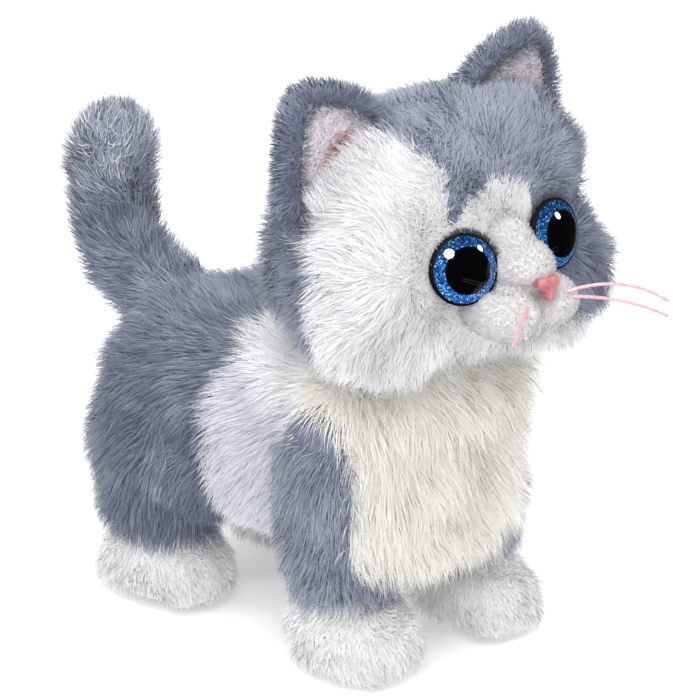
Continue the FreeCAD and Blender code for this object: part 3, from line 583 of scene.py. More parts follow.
# ------------------------------------------------------------------ body
def coat_body(p, n):
    x, y, z = p[:, 0], p[:, 1], p[:, 2]
    k = np.zeros(len(p), int)
    border = 6 + 4 * np.sin((z - 40) / 60 * math.pi) + rag(p, 5)
    k[y < border] = 3
    k[(y < border) & (y > border - 8) & (z > 60)] = 3
    ruff = (z > np.where(y < -14, 91, 100) + rag(p, 5, 41)) & (y < 9 + rag(p, 6, 43))
    k[ruff] = 1
    bib = (y < -40 + 0.20 * np.abs(x) + rag(p, 4, 45)) & (np.abs(x) < 40)
    k[bib] = 2
    k[(z < 40 + rag(p, 4, 47)) & (np.abs(x) < 26) & (n[:, 2] < -0.3)] = 1
    return k


BELLY = (11.9, -31.6, 38.6)


def on_belly_opening(p, n, grow=0.0):
    return (np.abs(p[:, 0]) < BELLY[0] + grow) & (p[:, 1] > BELLY[1] - grow) & \
        (p[:, 1] < BELLY[2] + grow) & (p[:, 2] < 45)


torso = skin("torso_skin", [
    ((0, 36, 67), (42, 34, 36), {"power": 2.8}),
    ((0, 2, 70), (38, 40, 33.5), {"power": 2.8}),
    ((0, -28, 69), (37, 29, 36), {"power": 2.6}),
    ((0, -42, 68), (34, 19, 34.5), {"power": 2.5}),
    ((0, -42, 96), (35, 23, 14)),
    ((0, -10, 96), (35, 20, 12)),
], voxel=2.0, passes=10, lump=0.7)
paint(torso, [BACK_GREY, BACK_WHITE], lambda c, n: (coat_body(c, n) > 0).astype(int))


def comb_body(p, n):
    x, y, z = p.T
    back = np.stack([0.0 * x, 0.9 + 0 * y, -0.55 - 0.012 * (90 - z)], 1)
    bib = np.stack([x * 0.004, -0.15 + 0 * y, -1.0 + 0 * z], 1)
    w = smooth(-28, -46, y)[:, None]
    return back * (1 - w) + bib * w


def length_body(p, n):
    x, y, z = p.T
    L = np.full(len(p), 9.5)
    w = smooth(-30, -50, y) * smooth(32, 50, z)
    L = L + w * 6.0
    L = L + smooth(84, 96, z) * smooth(-8, -24, y) * 4.0
    under = smooth(-0.35, -0.8, n[:, 2])
    hem = smooth(46, 36, z) * 0.35
    return L * (1 - 0.55 * under) * (1 - hem)


def body_density(p, n):
    covered = (np.abs(p[:, 0]) > 24) & (p[:, 2] < 78) & (((p[:, 1] > -54) & (p[:, 1] < -28)) | ((p[:, 1] > 30) & (p[:, 1] < 56)))
    return 2.3 * (1 - 0.5 * (n[:, 2] < -0.6)) * (1 - 0.95 * covered)


rng = np.random.default_rng(101)
bp, bn = scatter(torso.data, body_density, rng, keep=lambda p, n: ~on_belly_opening(p, n))
place(torso, body="chassis", replaces=("torso_plush", "chest_bib"))
for part, pick in (("front", bp[:, 1] < -6), ("rear", bp[:, 1] >= -6)):
    # grey fur is painted lighter where it faces up and darker where it faces down: painted light from above and painted
    # shade underneath
    torso_fur = fur("torso_pile_" + part, bp[pick], bn[pick], length_body, comb_body,
                    shader_for(coat_body, centre=lambda p, n: 0.42 + 0.16 * n[:, 2] * (coat_body(p, n) == 0),
                               size=10.0, seed=51, patch=0.34),
                    width=0.27, lay=lambda p, n: 0.60 - 0.10 * (p[:, 1] < -40), jitter=0.3,
                    clump=0.22, curl=0.2, spacing=14, seed=11, droop=0.12)
    place(torso_fur, body="chassis")

# ------------------------------------------------------------------ neck ruff
neck = skin("neck_skin", [((0, -44, 109), (27, 20, 15))], voxel=2.0, passes=4, lump=0.4)
give(neck, BACK_WHITE)
rng = np.random.default_rng(102)
np_, nn_ = scatter(neck.data, lambda p, n: 1.3 * (np.abs(n[:, 2]) < 0.75) + 0.0, rng)
neck_fur = fur("neck_pile", np_, nn_, 10.0, lambda p, n: np.stack([p[:, 0] * 0.01, (p[:, 1] + 44) * 0.01, -1 + 0 * p[:, 0]], 1),
               shader_for(lambda p, n: np.where(p[:, 1] > -34, 3, 1), centre=lambda p, n: 0.5 + 0 * p[:, 0]),
               width=0.32, lay=0.5, seed=12)
for o in (neck, neck_fur):
    place(o, blend=("chassis", "head", (0, -44, 100), (0, -44, 118)))


# ------------------------------------------------------------------ legs and paws
def coat_leg(p, n):
    k = np.zeros(len(p), int)
    k[p[:, 2] < 32 + rag(p, 5, 61)] = 1
    return k


def coat_front_leg(p, n):
    k = coat_leg(p, n)
    # the bib's edge crosses the inner front of the leg
    k[(p[:, 1] < -50 + 0.4 * (np.abs(p[:, 0]) - 28) + rag(p, 5, 63)) & (p[:, 2] > 46 + rag(p, 4, 64)) & (np.abs(p[:, 0]) < 36)] = 2
    return k


LEGS = {
    "front_left": (1, "front", 26.0, -42.6), "front_right": (-1, "front", 26.4, -42.4),
    "rear_left": (1, "rear", 28.0, 43.5), "rear_right": (-1, "rear", 28.8, 42.0),
}
FL = DROP
seed = 200
for key, (sx, end, foot_x, foot_y) in LEGS.items():
    body = "leg_" + key
    seed += 10
    fx = sx * foot_x
    if end == "front":
        hip = 31.0 if sx < 0 else 28.5
        prims = [((sx * hip, -37, 70), (12.8, 17.5, 25), {"power": 2.2}),
                 ((sx * 29.0, -39, 48), (13.6, 16, 22), {"power": 2.3}),
                 ((fx, foot_y + 2, FL + 24), (12.8, 14, 12), {"power": 2.2})]
        coat = coat_front_leg
    else:
        prims = [((sx * 31, 42, 60), (15.5, 24, 24), {"power": 2.2}),
                 ((sx * 30.5, 43, 42), (15, 18.5, 18), {"power": 2.3}),
                 ((fx, foot_y - 1, FL + 24), (13, 14.5, 12), {"power": 2.2})]
        coat = coat_leg
    leg = skin("leg_skin_" + key, prims, voxel=2.0, passes=8, lump=0.5)
    paint(leg, [BACK_GREY, BACK_WHITE], lambda c, n: (coat(c, n) > 0).astype(int))
    rng = np.random.default_rng(seed)

    # nothing grows inside the body
    def outside(p, n, sx=sx, end=end):
        inner = (p[:, 0] * sx < 17) & (p[:, 2] > 40)
        top = (p[:, 2] > 84)
        return ~(inner | top)

    lp, ln = scatter(leg.data, 2.1, rng, keep=outside)
    lf = fur("leg_pile_" + key, lp, ln,
             lambda p, n: 8.5 - 1.5 * smooth(40, 22, p[:, 2]),
             lambda p, n, end=end: np.stack([p[:, 0] * 0, np.full(len(p), 0.25 if end == "rear" else 0.12), -1 + 0 * p[:, 0]], 1),
             shader_for(coat, centre=lambda p, n, end=end: (0.80 if end == "front" else 0.50) + 0 * p[:, 0], size=9.0, seed=seed),
             width=0.27, lay=0.62, jitter=0.3, clump=0.22, curl=0.2, spacing=14, seed=seed + 1)
    start, stop = ((0, 0, 84), (0, 0, 48))
    for o in (leg, lf):
        place(o, blend=("chassis", body, start, stop))

    # paw
    paw = skin("paw_skin_" + key, [
        ((fx, foot_y, FL + 13.0), (16.0, 20.5, 12.6), {"power": 2.4}),
        ((fx - 6.4, foot_y - 13.4, FL + 11.2), (6.8, 8.6, 10.2), {"power": 2.2}),
        ((fx + 6.4, foot_y - 13.4, FL + 11.2), (6.8, 8.6, 10.2), {"power": 2.2}),
        ((fx, foot_y - 14.6, FL + 11.6), (6.4, 8.8, 10.5), {"power": 2.2}),
        ((fx, foot_y + 2, FL + 19), (13, 15, 9)),
        ((sx * 28.9, -46.2 if end == "front" else 47.8, FL + 6.6), (12.6, 17.6, 5.8), {"power": 3.6}),
    ], voxel=1.5, passes=5, lump=0.3)
    co, _ = mesh_points(paw.data)
    co[:, 2] = np.maximum(co[:, 2], FL + 0.9)
    set_points(paw.data, co)
    give(paw, BACK_WHITE)
    rng = np.random.default_rng(seed + 2)
    fp, fn_ = scatter(paw.data, lambda p, n: 2.1 * (n[:, 2] > -0.55) * (p[:, 2] > FL + 1.6), rng)
    pf = fur("paw_pile_" + key, fp, fn_,
             lambda p, n: 4.2 - 1.8 * smooth(FL + 5.0, FL + 1.5, p[:, 2]),
             lambda p, n, fx=fx, fy=foot_y: np.stack([(p[:, 0] - fx) * 0.02, (p[:, 1] - fy) * 0.03 - 0.4, -0.75 + 0 * p[:, 0]], 1),
             shader_for(lambda p, n: np.ones(len(p), int), centre=lambda p, n: 0.6 + 0 * p[:, 0], size=7.0, seed=seed + 3, patch=0.25),
             width=0.30, lay=0.5, jitter=0.3, clump=0.22, spacing=10, seed=seed + 4)
    c = np.zeros(len(pf.data.vertices) * 3, np.float32)
    pf.data.vertices.foreach_get("co", c)
    c = c.reshape(-1, 3)
    c[:, 2] = np.maximum(c[:, 2], 0.0001)
    pf.data.vertices.foreach_set("co", c.ravel())
    for o in (paw, pf):
        place(o, body=body)
    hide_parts("leg_plush_" + key)

# ------------------------------------------------------------------ tail
TAIL = [(0, 58, 92), (0, 66.5, 93), (0, 76, 94.2), (0, 86, 98.5), (0, 92.5, 105), (0, 96.5, 113),
        (0, 98.0, 122), (0, 98.0, 131), (0, 97.5, 139.5)]


def along(points, step):
    out = []
    for a, b in zip(points[:-1], points[1:]):
        a, b = np.array(a, float), np.array(b, float)
        k = max(1, int(np.linalg.norm(b - a) / step))
        for i in range(k):
            out.append(a + (b - a) * i / k)
    out.append(np.array(points[-1], float))
    return out


tail_line = np.array(along(TAIL, 3.0))
tail = skin("tail_skin", [(tuple(q), (11.8, 11.8, 11.8)) for q in tail_line], voxel=1.8, passes=4, lump=0.4)


def tail_near(p):
    d = np.linalg.norm(p[:, None, :] - tail_line[None], axis=2)
    i = d.argmin(1)
    j = np.minimum(i + 1, len(tail_line) - 1)
    h = np.maximum(j - 1, 0)
    return i / (len(tail_line) - 1.0), unit(tail_line[j] - tail_line[h])


def tail_centre(p, n):
    t, _ = tail_near(p)
    return 0.63 + 0.45 * smooth(0.70, 0.95, t) + 0.04 * smooth(0.3, 0.0, t)


def tail_coat(p, n):
    """Pale fibres mixed in towards the tip."""
    t, _ = tail_near(p)
    mix = noise(p, 0.35, 73)
    return np.where(mix < 0.30 * smooth(0.66, 0.98, t), 3, 0)


give(tail, BACK_GREY)
rng = np.random.default_rng(301)
tp, tn = scatter(tail.data, 2.0, rng, keep=lambda p, n: p[:, 1] > 62)
tail_fur = fur("tail_pile", tp, tn, 8.0, lambda p, n: tail_near(p)[1],
               shader_for(tail_coat, centre=tail_centre, size=7.0, seed=71),
               width=0.29, lay=0.55, jitter=0.3, clump=0.22, curl=0.2, spacing=13, seed=21, droop=0.0)
for o in (tail, tail_fur):
    place(o, blend=("chassis", "tail", (0, 58, 90), (0, 80, 90)))
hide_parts("tail_plush")

# ------------------------------------------------------------------ head
EYE = {}
for name, sx in (("eye_right", -1), ("eye_left", 1)):
    turn, tilt = math.radians(21 if sx < 0 else 7) * sx, math.radians(11)
    ax = np.array([math.sin(turn) * math.cos(tilt), -math.cos(turn) * math.cos(tilt), math.sin(tilt)])
    EYE[name] = (np.array([sx * 19.3, -84.2, 148.0 if sx < 0 else 150.2]), ax, sx)


def eye_gap(p):
    """Distance from the nearer eye's axis in the plane of the eye, in millimetres."""
    best = np.full(len(p), 99.0)
    for c, ax, sx in EYE.values():
        d = p - c
        along_ = d @ ax
        r = np.linalg.norm(d - along_[:, None] * ax, axis=1)
        r = np.where(along_ < -14, 99.0, r)
        best = np.minimum(best, r)
    return best


def coat_head(p, n):
    x, y, z = p.T
    k = np.ones(len(p), int)
    r1, r2, r3 = rag(p, 3.5, 81), rag(p, 5, 83), rag(p, 2.2, 85)
    right = x < 0
    # near cheek white up to the ear, crown grey, back of the head grey
    edge = -20.0 - 0.42 * np.maximum(z - 178, 0) + r1
    crown_r = ((x > edge) & (z > 150)) | (z > 190 + r1)
    back_r = y > -43 - 10 * smooth(168, 145, z) + r2
    k[right & (crown_r | back_r)] = 0
    # far side grey down to the jaw
    k[~right & (z > 125 + r1 + 0.12 * (y + 60))] = 0
    # blaze between the eyes: its top slants up to the middle and falls to the far eye
    front = y < -64
    top = 170.8 - 0.035 * (x + 2) ** 2 + r3 * 0.8
    blaze = front & (x > -17.5 + r3 * 0.5) & (x < 12 + r3 * 0.4) & (z < top)
    k[blaze] = 1
    k[front & (x >= 0) & (x < 15 + r3 * 0.4) & (z < 146)] = 1
    wedge = front & (x < -16.0 + r3 * 0.4) & (x > edge) & (z > 163.5 + r3) & (z < 178)
    k[wedge] = 0
    k[front & right & (x <= -15) & (z <= 163.5 + r3)] = 1
    k[(z < 116 + r2 * 0.8) & (y < -52 + r2 * 0.5)] = 1
    return k


def head_centre(p, n):
    x, y, z = p.T
    # white fur on the front of the face between the eyes is painted darker: painted shade against the front light it
    # faces
    t = np.full(len(p), 0.42) - 0.22 * (np.abs(x) < 17) * (y < -70)
    grey = coat_head(p, n) == 0
    # grey fur is painted lighter on the crown and where it faces up: painted highlight from above; it is also darker
    # towards the far side, x 20 to 45
    t[grey] = 0.56 + 0.26 * smooth(150, 172, z[grey]) * smooth(42, 24, x[grey]) + 0.26 * smooth(0.15, 0.75, n[grey, 2]) * (x[grey] < 34) - 0.10 * smooth(20, 45, x[grey])
    return t


head = skin("head_skin", [
    ((0, -48.5, 147), (50, 35.5, 42), {"power": 2.25}),
    ((-29, -59, 134), (25, 23, 24)),
    ((30, -60, 131), (26, 25, 26)),
    ((0, -33, 138), (45, 25, 29)),
    ((0, -67, 152), (13, 18, 20)),
    ((0, -72, 132), (20, 14, 16)),
    ((-18, -44, 161), (29, 29, 25)),
    ((21, -48, 163), (33, 31, 26)),
], voxel=2.0, passes=10, lump=0.5)
# hollow the skin a little under the eyes
co, nm = mesh_points(head.data)
for c, ax, sx in EYE.values():
    d = co - c
    al = d @ ax
    r = np.linalg.norm(d - al[:, None] * ax, axis=1)
    push = np.where((r < 15) & (al > -3.0), (al + 1.0) * smooth(15.0, 10.5, r), 0)
    push = np.where(al > -1.0, push, 0)
    co = co - ax * push[:, None]
set_points(head.data, co)
paint(head, [BACK_GREY, BACK_WHITE], lambda c, n: (coat_head(c, n) > 0).astype(int))


def comb_head(p, n):
    x, y, z = p.T
    v = np.stack([x - 0 * x, (y + 94) * 1.0, (z - 148) * 0.9], 1)
    v = unit(v)
    fall = np.stack([0 * x, 0 * x + 0.25, -1.0 + 0 * x], 1)
    w = (0.55 * smooth(158, 128, z))[:, None]
    return v * (1 - w) + fall * w


def length_head(p, n):
    x, y, z = p.T
    L = np.full(len(p), 6.6)
    cheek = smooth(14, 34, np.abs(x)) * smooth(172, 152, z)
    L = L + 2.4 * cheek
    L = L - 3.0 * smooth(-66, -82, y) * smooth(30, 14, np.abs(x))
    e = eye_gap(p)
    L = L * (0.38 + 0.62 * smooth(10.5, 19.0, e))
    mz = np.linalg.norm((p - np.array([0, -92, 138])) / np.array([17, 18, 15]), axis=1)
    L = L * (0.4 + 0.6 * smooth(0.85, 1.6, mz))
    L = L * (0.5 + 0.5 * smooth(105, 112, z))
    return np.maximum(L, 1.6)


def head_keep(p, n):
    e = eye_gap(p)
    hidden = (p[:, 2] < 112) & (np.abs(p[:, 0]) < 27) & (n[:, 2] < -0.55) & (p[:, 1] > -66)
    inside_muzzle = np.linalg.norm((p - np.array([0, -88, 136])) / np.array([13, 13, 12]), axis=1) < 1
    return (e > 9.9) & ~hidden & ~inside_muzzle


def head_density(p, n):
    return 2.2 + 1.2 * (p[:, 1] < -72) * (np.abs(p[:, 0]) < 32)


rng = np.random.default_rng(401)
hp, hn = scatter(head.data, head_density, rng, keep=head_keep)
head_fur = fur("head_pile", hp, hn, length_head, comb_head,
               shader_for(coat_head, centre=head_centre, size=9.0, seed=91, patch=0.3, lock=0.12, single=0.1),
               width=0.26, lay=lambda p, n: 0.56 + 0.1 * (p[:, 2] > 165), jitter=0.4, clump=0.14,
               spacing=14, curl=0.42, seed=31, droop=0.05)
place(head, body="head", replaces=("head_plush",))
place(head_fur, body="head")

# ------------------------------------------------------------------ muzzle
muzzle = skin("muzzle_skin", [
    ((0, -86.8, 146.0), (10.2, 14, 8.6)),
    ((0, -74, 152), (10.5, 11, 14)),
    ((0, -79.5, 150.5), (9.6, 13, 10.5)),
    ((-8.4, -89.2, 133.6), (10.7, 13.2, 8.4)),
    ((8.4, -89.2, 133.6), (10.7, 13.2, 8.4)),
    ((0, -86.5, 127.2), (9.5, 10.5, 6.6)),
], voxel=1.2, passes=3, lump=0.2)
# the stitched line from each eye's lower inner corner to the nose, and the one under the nose
co, nm = mesh_points(muzzle.data)
line_z = 141.2 + 0.05 * np.abs(co[:, 0])
groove = np.exp(-((co[:, 2] - line_z) / 1.1) ** 2) * (co[:, 1] < -80) * smooth(1.0, 4.0, np.abs(co[:, 0]))
split = np.exp(-(co[:, 0] / 1.2) ** 2) * (co[:, 1] < -88) * smooth(139.5, 137.0, co[:, 2])
set_points(muzzle.data, co - nm * (1.5 * groove + 1.3 * split)[:, None])
give(muzzle, BACK_WHITE)
rng = np.random.default_rng(501)
mp, mn = scatter(muzzle.data, 4.6, rng, keep=lambda p, n: (p[:, 1] < -74) & (eye_gap(p) > 10.4))


def muzzle_len(p, n):
    g = np.exp(-((p[:, 2] - 141.2 - 0.05 * np.abs(p[:, 0])) / 1.3) ** 2) * (np.abs(p[:, 0]) > 2.5)
    return (1.7 + 1.6 * smooth(-88, -76, p[:, 1])) * (1 - 0.5 * g)


muzzle_fur = fur("muzzle_pile", mp, mn, muzzle_len,
                 lambda p, n: np.stack([p[:, 0] * 0.05, 1.0 + 0 * p[:, 0], -0.35 + (p[:, 2] - 138) * 0.03], 1),
                 shader_for(lambda p, n: np.full(len(p), 4),
                            # fibres along the crease from the eye to the nose are painted darker: painted shade in the
                            # crease
                            centre=lambda p, n: 0.72 - 1.1 * np.exp(-((p[:, 2] - 141.2 - 0.05 * np.abs(p[:, 0])) / 0.9) ** 2) * (np.abs(p[:, 0]) > 2.5),
                            size=6.0, seed=95, patch=0.2, lock=0.1, single=0.1),
                 width=0.26, lay=0.42, jitter=0.34, clump=0.1, spacing=8, seed=41)
place(muzzle, body="head", replaces=("muzzle_plush",))
place(muzzle_fur, body="head")

# ------------------------------------------------------------------ ears
EAR_LINE = [(12, 168), (14, 179), (19, 187), (28, 193.5), (37, 197.0), (44.5, 198.8), (49.5, 197.8), (52, 194), (53.2, 187),
            (53.8, 178), (53.5, 168), (52, 158)]
EAR_PANE = [(15, 171), (18.5, 183), (28, 191.6), (37, 195.8), (44.5, 197.8), (49.6, 196.6), (51.8, 191), (52.6, 183),
            (52.4, 172), (50, 162), (35, 157)]


def pane_mesh(outline, y0, y1):
    n = len(outline)
    v = [(x, y0, z) for x, z in outline] + [(x, y1, z) for x, z in outline]
    f = [tuple(range(n)), tuple(range(2 * n - 1, n - 1, -1))]
    f += [(i, i + n, (i + 1) % n + n, (i + 1) % n) for i in range(n)]
    return v, f


def pane_skin(name, outline, y0, y1, voxel, passes):
    v, f = pane_mesh(outline, y0, y1)
    me = bpy.data.meshes.new(name)
    me.from_pydata([tuple(P(*q)) for q in v], [], f)
    ob = bpy.data.objects.new(name, me)
    scene.collection.objects.link(ob)
    rm = ob.modifiers.new("r", "REMESH")
    rm.mode = "VOXEL"
    rm.voxel_size = voxel * MM
    sm = ob.modifiers.new("s", "SMOOTH")
    sm.factor = 0.5
    sm.iterations = passes
    bpy.context.view_layer.update()
    done = bpy.data.meshes.new_from_object(ob.evaluated_get(bpy.context.evaluated_depsgraph_get()))
    ob.modifiers.clear()
    ob.data = done
    done.shade_smooth()
    return ob


def lining_mat():
    m, t, b = new_mat("ear_lining_pile")
    n, l = t.nodes, t.links
    co = n.new("ShaderNodeTexCoord")
    nz = n.new("ShaderNodeTexNoise")
    nz.inputs["Scale"].default_value = 700
    nz.inputs["Detail"].default_value = 4
    l.new(co.outputs["Object"], nz.inputs["Vector"])
    ramp = n.new("ShaderNodeValToRGB")
    ramp.color_ramp.elements[0].position = 0.3
    ramp.color_ramp.elements[0].color = srgb(190, 183, 191)
    ramp.color_ramp.elements[1].position = 0.7
    ramp.color_ramp.elements[1].color = srgb(228, 222, 227)
    l.new(nz.outputs["Fac"], ramp.inputs["Fac"])
    l.new(ramp.outputs["Color"], b.inputs["Base Color"])
    set_in(b, Roughness=0.95, Sheen_Weight=0.4)
    return m


LINING = lining_mat()
PINK = [glowing_pile_mat("pile_pink_%d" % i, srgb(*c)) for i, c in enumerate([(150, 84, 92), (188, 122, 130), (214, 166, 172)])]
PALE = [glowing_pile_mat("pile_pale_%d" % i, srgb(*c)) for i, c in enumerate([(204, 198, 205), (223, 218, 224), (238, 235, 239)])]
ALL += PINK + PALE
K0, A0 = 20, 23
for key, sx in (("left", 1), ("right", -1)):
    line = along([(sx * x, -45.0, z) for x, z in EAR_LINE], 3.5)
    prims = [(tuple(q), (3.6, 4.4, 3.6)) for q in line]
    ear = skin("ear_skin_" + key, prims, voxel=1.5, passes=4, lump=0.2)
    back = pane_skin("ear_back_" + key, [(sx * x, z) for x, z in EAR_LINE], -43.0, -40.0, 1.5, 3)
    back_mesh = back.data
    bpy.data.objects.remove(back)
    # rim and back wall become one skin
    tmp = bpy.data.objects.new("ear_join_" + key, back_mesh)
    scene.collection.objects.link(tmp)
    with bpy.context.temp_override(active_object=ear, selected_editable_objects=[ear, tmp], selected_objects=[ear, tmp]):
        bpy.ops.object.join()
    give(ear, BACK_GREY)
    rng = np.random.default_rng(600 + sx)
    ep, en = scatter(ear.data, 2.3, rng, keep=lambda p, n: (p[:, 2] > 160) & ~((n[:, 1] < -0.2) & (p[:, 1] > -44.5)))
    mid = np.array([sx * 38.0, -45.0, 178.0])

    def ear_comb(p, n, mid=mid):
        v = p - mid
        v[:, 1] = 0.3 * 20
        return v

    ef = fur("ear_pile_" + key, ep, en, 4.8, ear_comb,
             shader_for(lambda p, n: np.zeros(len(p), int),
                        # ear fur is painted lighter where it faces up: painted light from above; it is also darker
                        # where it faces forward
                        centre=lambda p, n: 0.60 + 0.12 * n[:, 2] - 0.16 * (n[:, 1] < -0.3), size=7.0, seed=97),
             width=0.30, lay=0.4, jitter=0.25, clump=0.3, spacing=9, seed=51 + sx, droop=0.0)
    lining = pane_skin("ear_lining_" + key, [(sx * (x if sx < 0 else max(x, 29.0 - 0.12 * (z - 158))), z) for x, z in EAR_PANE], -48.0, -44.6, 1.2, 4)
    give(lining, LINING)
    lp, ln = scatter(lining.data, 4.4, rng, keep=lambda p, n: (n[:, 1] < -0.3))

    spot = np.array([sx * 37.5, -48.0, 180.0])

    def lining_shade(p, n, near, rng, spot=spot, sx=sx):
        d = (p - spot) * np.array([1.0, 0, 1.0])
        u = d[:, 0] * 0.55 * -sx + d[:, 2] * 0.83
        v = d[:, 0] * 0.83 * -sx - d[:, 2] * 0.55
        q = np.sqrt((u / 8.0) ** 2 + (v / 4.5) ** 2) + rng.normal(0, 0.16, len(p))
        pink = q < 1.0
        slot = np.where(pink, K0, A0)
        t = np.where(pink, 0.05 + 0.75 * q, 0.5 + rng.normal(0, 0.25, len(p)))
        return slot, np.full(len(p), 3), t

    lf = fur("ear_lining_pile_" + key, lp, ln, 2.2, lambda p, n: np.stack([0 * p[:, 0], 0 * p[:, 0], 1 + 0 * p[:, 0]], 1),
             lining_shade, width=0.27, lay=0.5, jitter=0.25, clump=0.0, segments=2, seed=61 + sx)
    # long tufts from the head over the lower inner corner
    n_t = 1100
    t = rng.random(n_t)
    root = np.stack([sx * (17 + 32 * t) + rng.normal(0, 1.4, n_t), -51.0 + rng.normal(0, 1.2, n_t),
                     176.5 - 13.0 * t ** 1.3 + rng.normal(0, 1.8, n_t)], 1)
    nt = unit(np.stack([np.zeros(n_t), np.full(n_t, -0.85), np.full(n_t, 0.5)], 1))
    tuft = fur("ear_tuft_" + key, root, nt, 9.5, lambda p, n, sx=sx: np.stack([sx * 0.35 + 0 * p[:, 0], 0.25 + 0 * p[:, 0], 1 + 0 * p[:, 0]], 1),
               shader_for(lambda p, n, sx=sx: np.full(len(p), 1 if sx < 0 else 0), centre=lambda p, n: 0.62 + 0 * p[:, 0], size=5.0, seed=99),
               width=0.3, lay=0.9, jitter=0.18, clump=0.4, spacing=9, seed=71 + sx, droop=0.0)
    for o, s in ((ear, "grey_fur"), (ef, "grey_fur"), (lining, "white_fur"), (lf, "white_fur"), (tuft, "white_fur")):
        place(o, body="head")
    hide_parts("ear_" + key)
    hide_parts("ear_linings")


# ------------------------------------------------------------------ eyes
def glass_mat(name, colour, rough=0.05, spec=0.34):
    m, t, b = new_mat(name)
    set_in(b, Base_Color=colour, Roughness=rough, Coat_Weight=0.0, Specular_IOR_Level=spec)
    return m


def glitter_mat():
    m, t, b = new_mat("iris_glitter")
    n, l = t.nodes, t.links
    co = n.new("ShaderNodeTexCoord")
    vo = n.new("ShaderNodeTexVoronoi")
    vo.inputs["Scale"].default_value = 2600
    l.new(co.outputs["Object"], vo.inputs["Vector"])
    sep = n.new("ShaderNodeSeparateColor")
    l.new(vo.outputs["Color"], sep.inputs["Color"])
    ramp = n.new("ShaderNodeValToRGB")
    e = ramp.color_ramp.elements
    e[0].position, e[0].color = 0.0, srgb(16, 40, 92)
    e[1].position, e[1].color = 1.0, srgb(205, 235, 246)
    for pos, c in ((0.45, (18, 66, 138)), (0.72, (34, 104, 186)), (0.90, (66, 150, 216)), (0.96, (150, 214, 232))):
        k = e.new(pos)
        k.color = srgb(*c)
    l.new(sep.outputs["Red"], ramp.inputs["Fac"])
    # the iris colour is scaled by height: painted shade at the top of the iris and painted light at its bottom
    xyz = n.new("ShaderNodeSeparateXYZ")
    l.new(co.outputs["Object"], xyz.inputs[0])
    low = n.new("ShaderNodeMapRange")
    low.inputs["From Min"].default_value = (140.0 - DROP) * MM
    low.inputs["From Max"].default_value = (160.0 - DROP) * MM
    low.inputs["To Min"].default_value = 1.15
    low.inputs["To Max"].default_value = 0.38
    l.new(xyz.outputs["Z"], low.inputs["Value"])
    vm = n.new("ShaderNodeVectorMath")
    vm.operation = "SCALE"
    l.new(ramp.outputs["Color"], vm.inputs[0])
    l.new(low.outputs["Result"], vm.inputs["Scale"])
    l.new(vm.outputs["Vector"], b.inputs["Base Color"])
    rr = n.new("ShaderNodeMapRange")
    rr.inputs["To Min"].default_value = 0.4
    rr.inputs["To Max"].default_value = 0.7
    l.new(sep.outputs["Green"], rr.inputs["Value"])
    l.new(rr.outputs["Result"], b.inputs["Roughness"])
    set_in(b, Metallic=0.0, Specular_IOR_Level=0.0, Coat_Weight=0.9, Coat_Roughness=0.02)
    return m


PUPIL = glass_mat("pupil_glass", srgb(3, 3, 4))
RIM = glass_mat("rim_black", srgb(6, 6, 8), 0.7, 0.05)
IRIS = glitter_mat()
FELT, _, fb_ = new_mat("eye_felt")
set_in(fb_, Base_Color=srgb(10, 10, 13), Roughness=0.95, Sheen_Weight=0.2)
ALL += [FELT]
F0 = 26


def lathe(name, centre, axis, profile, turns, mats, which):
    """Revolved surface about axis; profile is (radius, height along axis); which gives each ring's material."""
    a = unit(axis[None])[0]
    u = np.cross(a, [0, 0, 1.0])
    u /= np.linalg.norm(u)
    w = np.cross(u, a)
    verts, faces, mi = [], [], []
    for r, h in profile[:-1]:
        for i in range(turns):
            th = 2 * math.pi * i / turns
            q = centre + a * h + u * (r * math.cos(th)) + w * (r * math.sin(th))
            verts.append(tuple(P(*q)))
    tip = len(verts)
    verts.append(tuple(P(*(centre + a * profile[-1][1]))))
    rows = len(profile) - 1
    for k in range(rows - 1):
        for i in range(turns):
            j = (i + 1) % turns
            faces.append((k * turns + i, k * turns + j, (k + 1) * turns + j, (k + 1) * turns + i))
            mi.append(which[k])
    for i in range(turns):
        j = (i + 1) % turns
        faces.append(((rows - 1) * turns + i, (rows - 1) * turns + j, tip))
        mi.append(which[rows - 1])
    faces.append(tuple(range(turns - 1, -1, -1)))
    mi.append(which[0])
    me = bpy.data.meshes.new(name)
    me.from_pydata(verts, [], faces)
    for m in mats:
        me.materials.append(m)
    me.polygons.foreach_set("material_index", mi)
    me.shade_smooth()
    ob = bpy.data.objects.new(name, me)
    scene.collection.objects.link(ob)
    bm_fix(me)
    return ob


def bm_fix(me):
    import bmesh
    bm = bmesh.new()
    bm.from_mesh(me)
    bmesh.ops.recalc_face_normals(bm, faces=bm.faces)
    bm.to_mesh(me)
    bm.free()


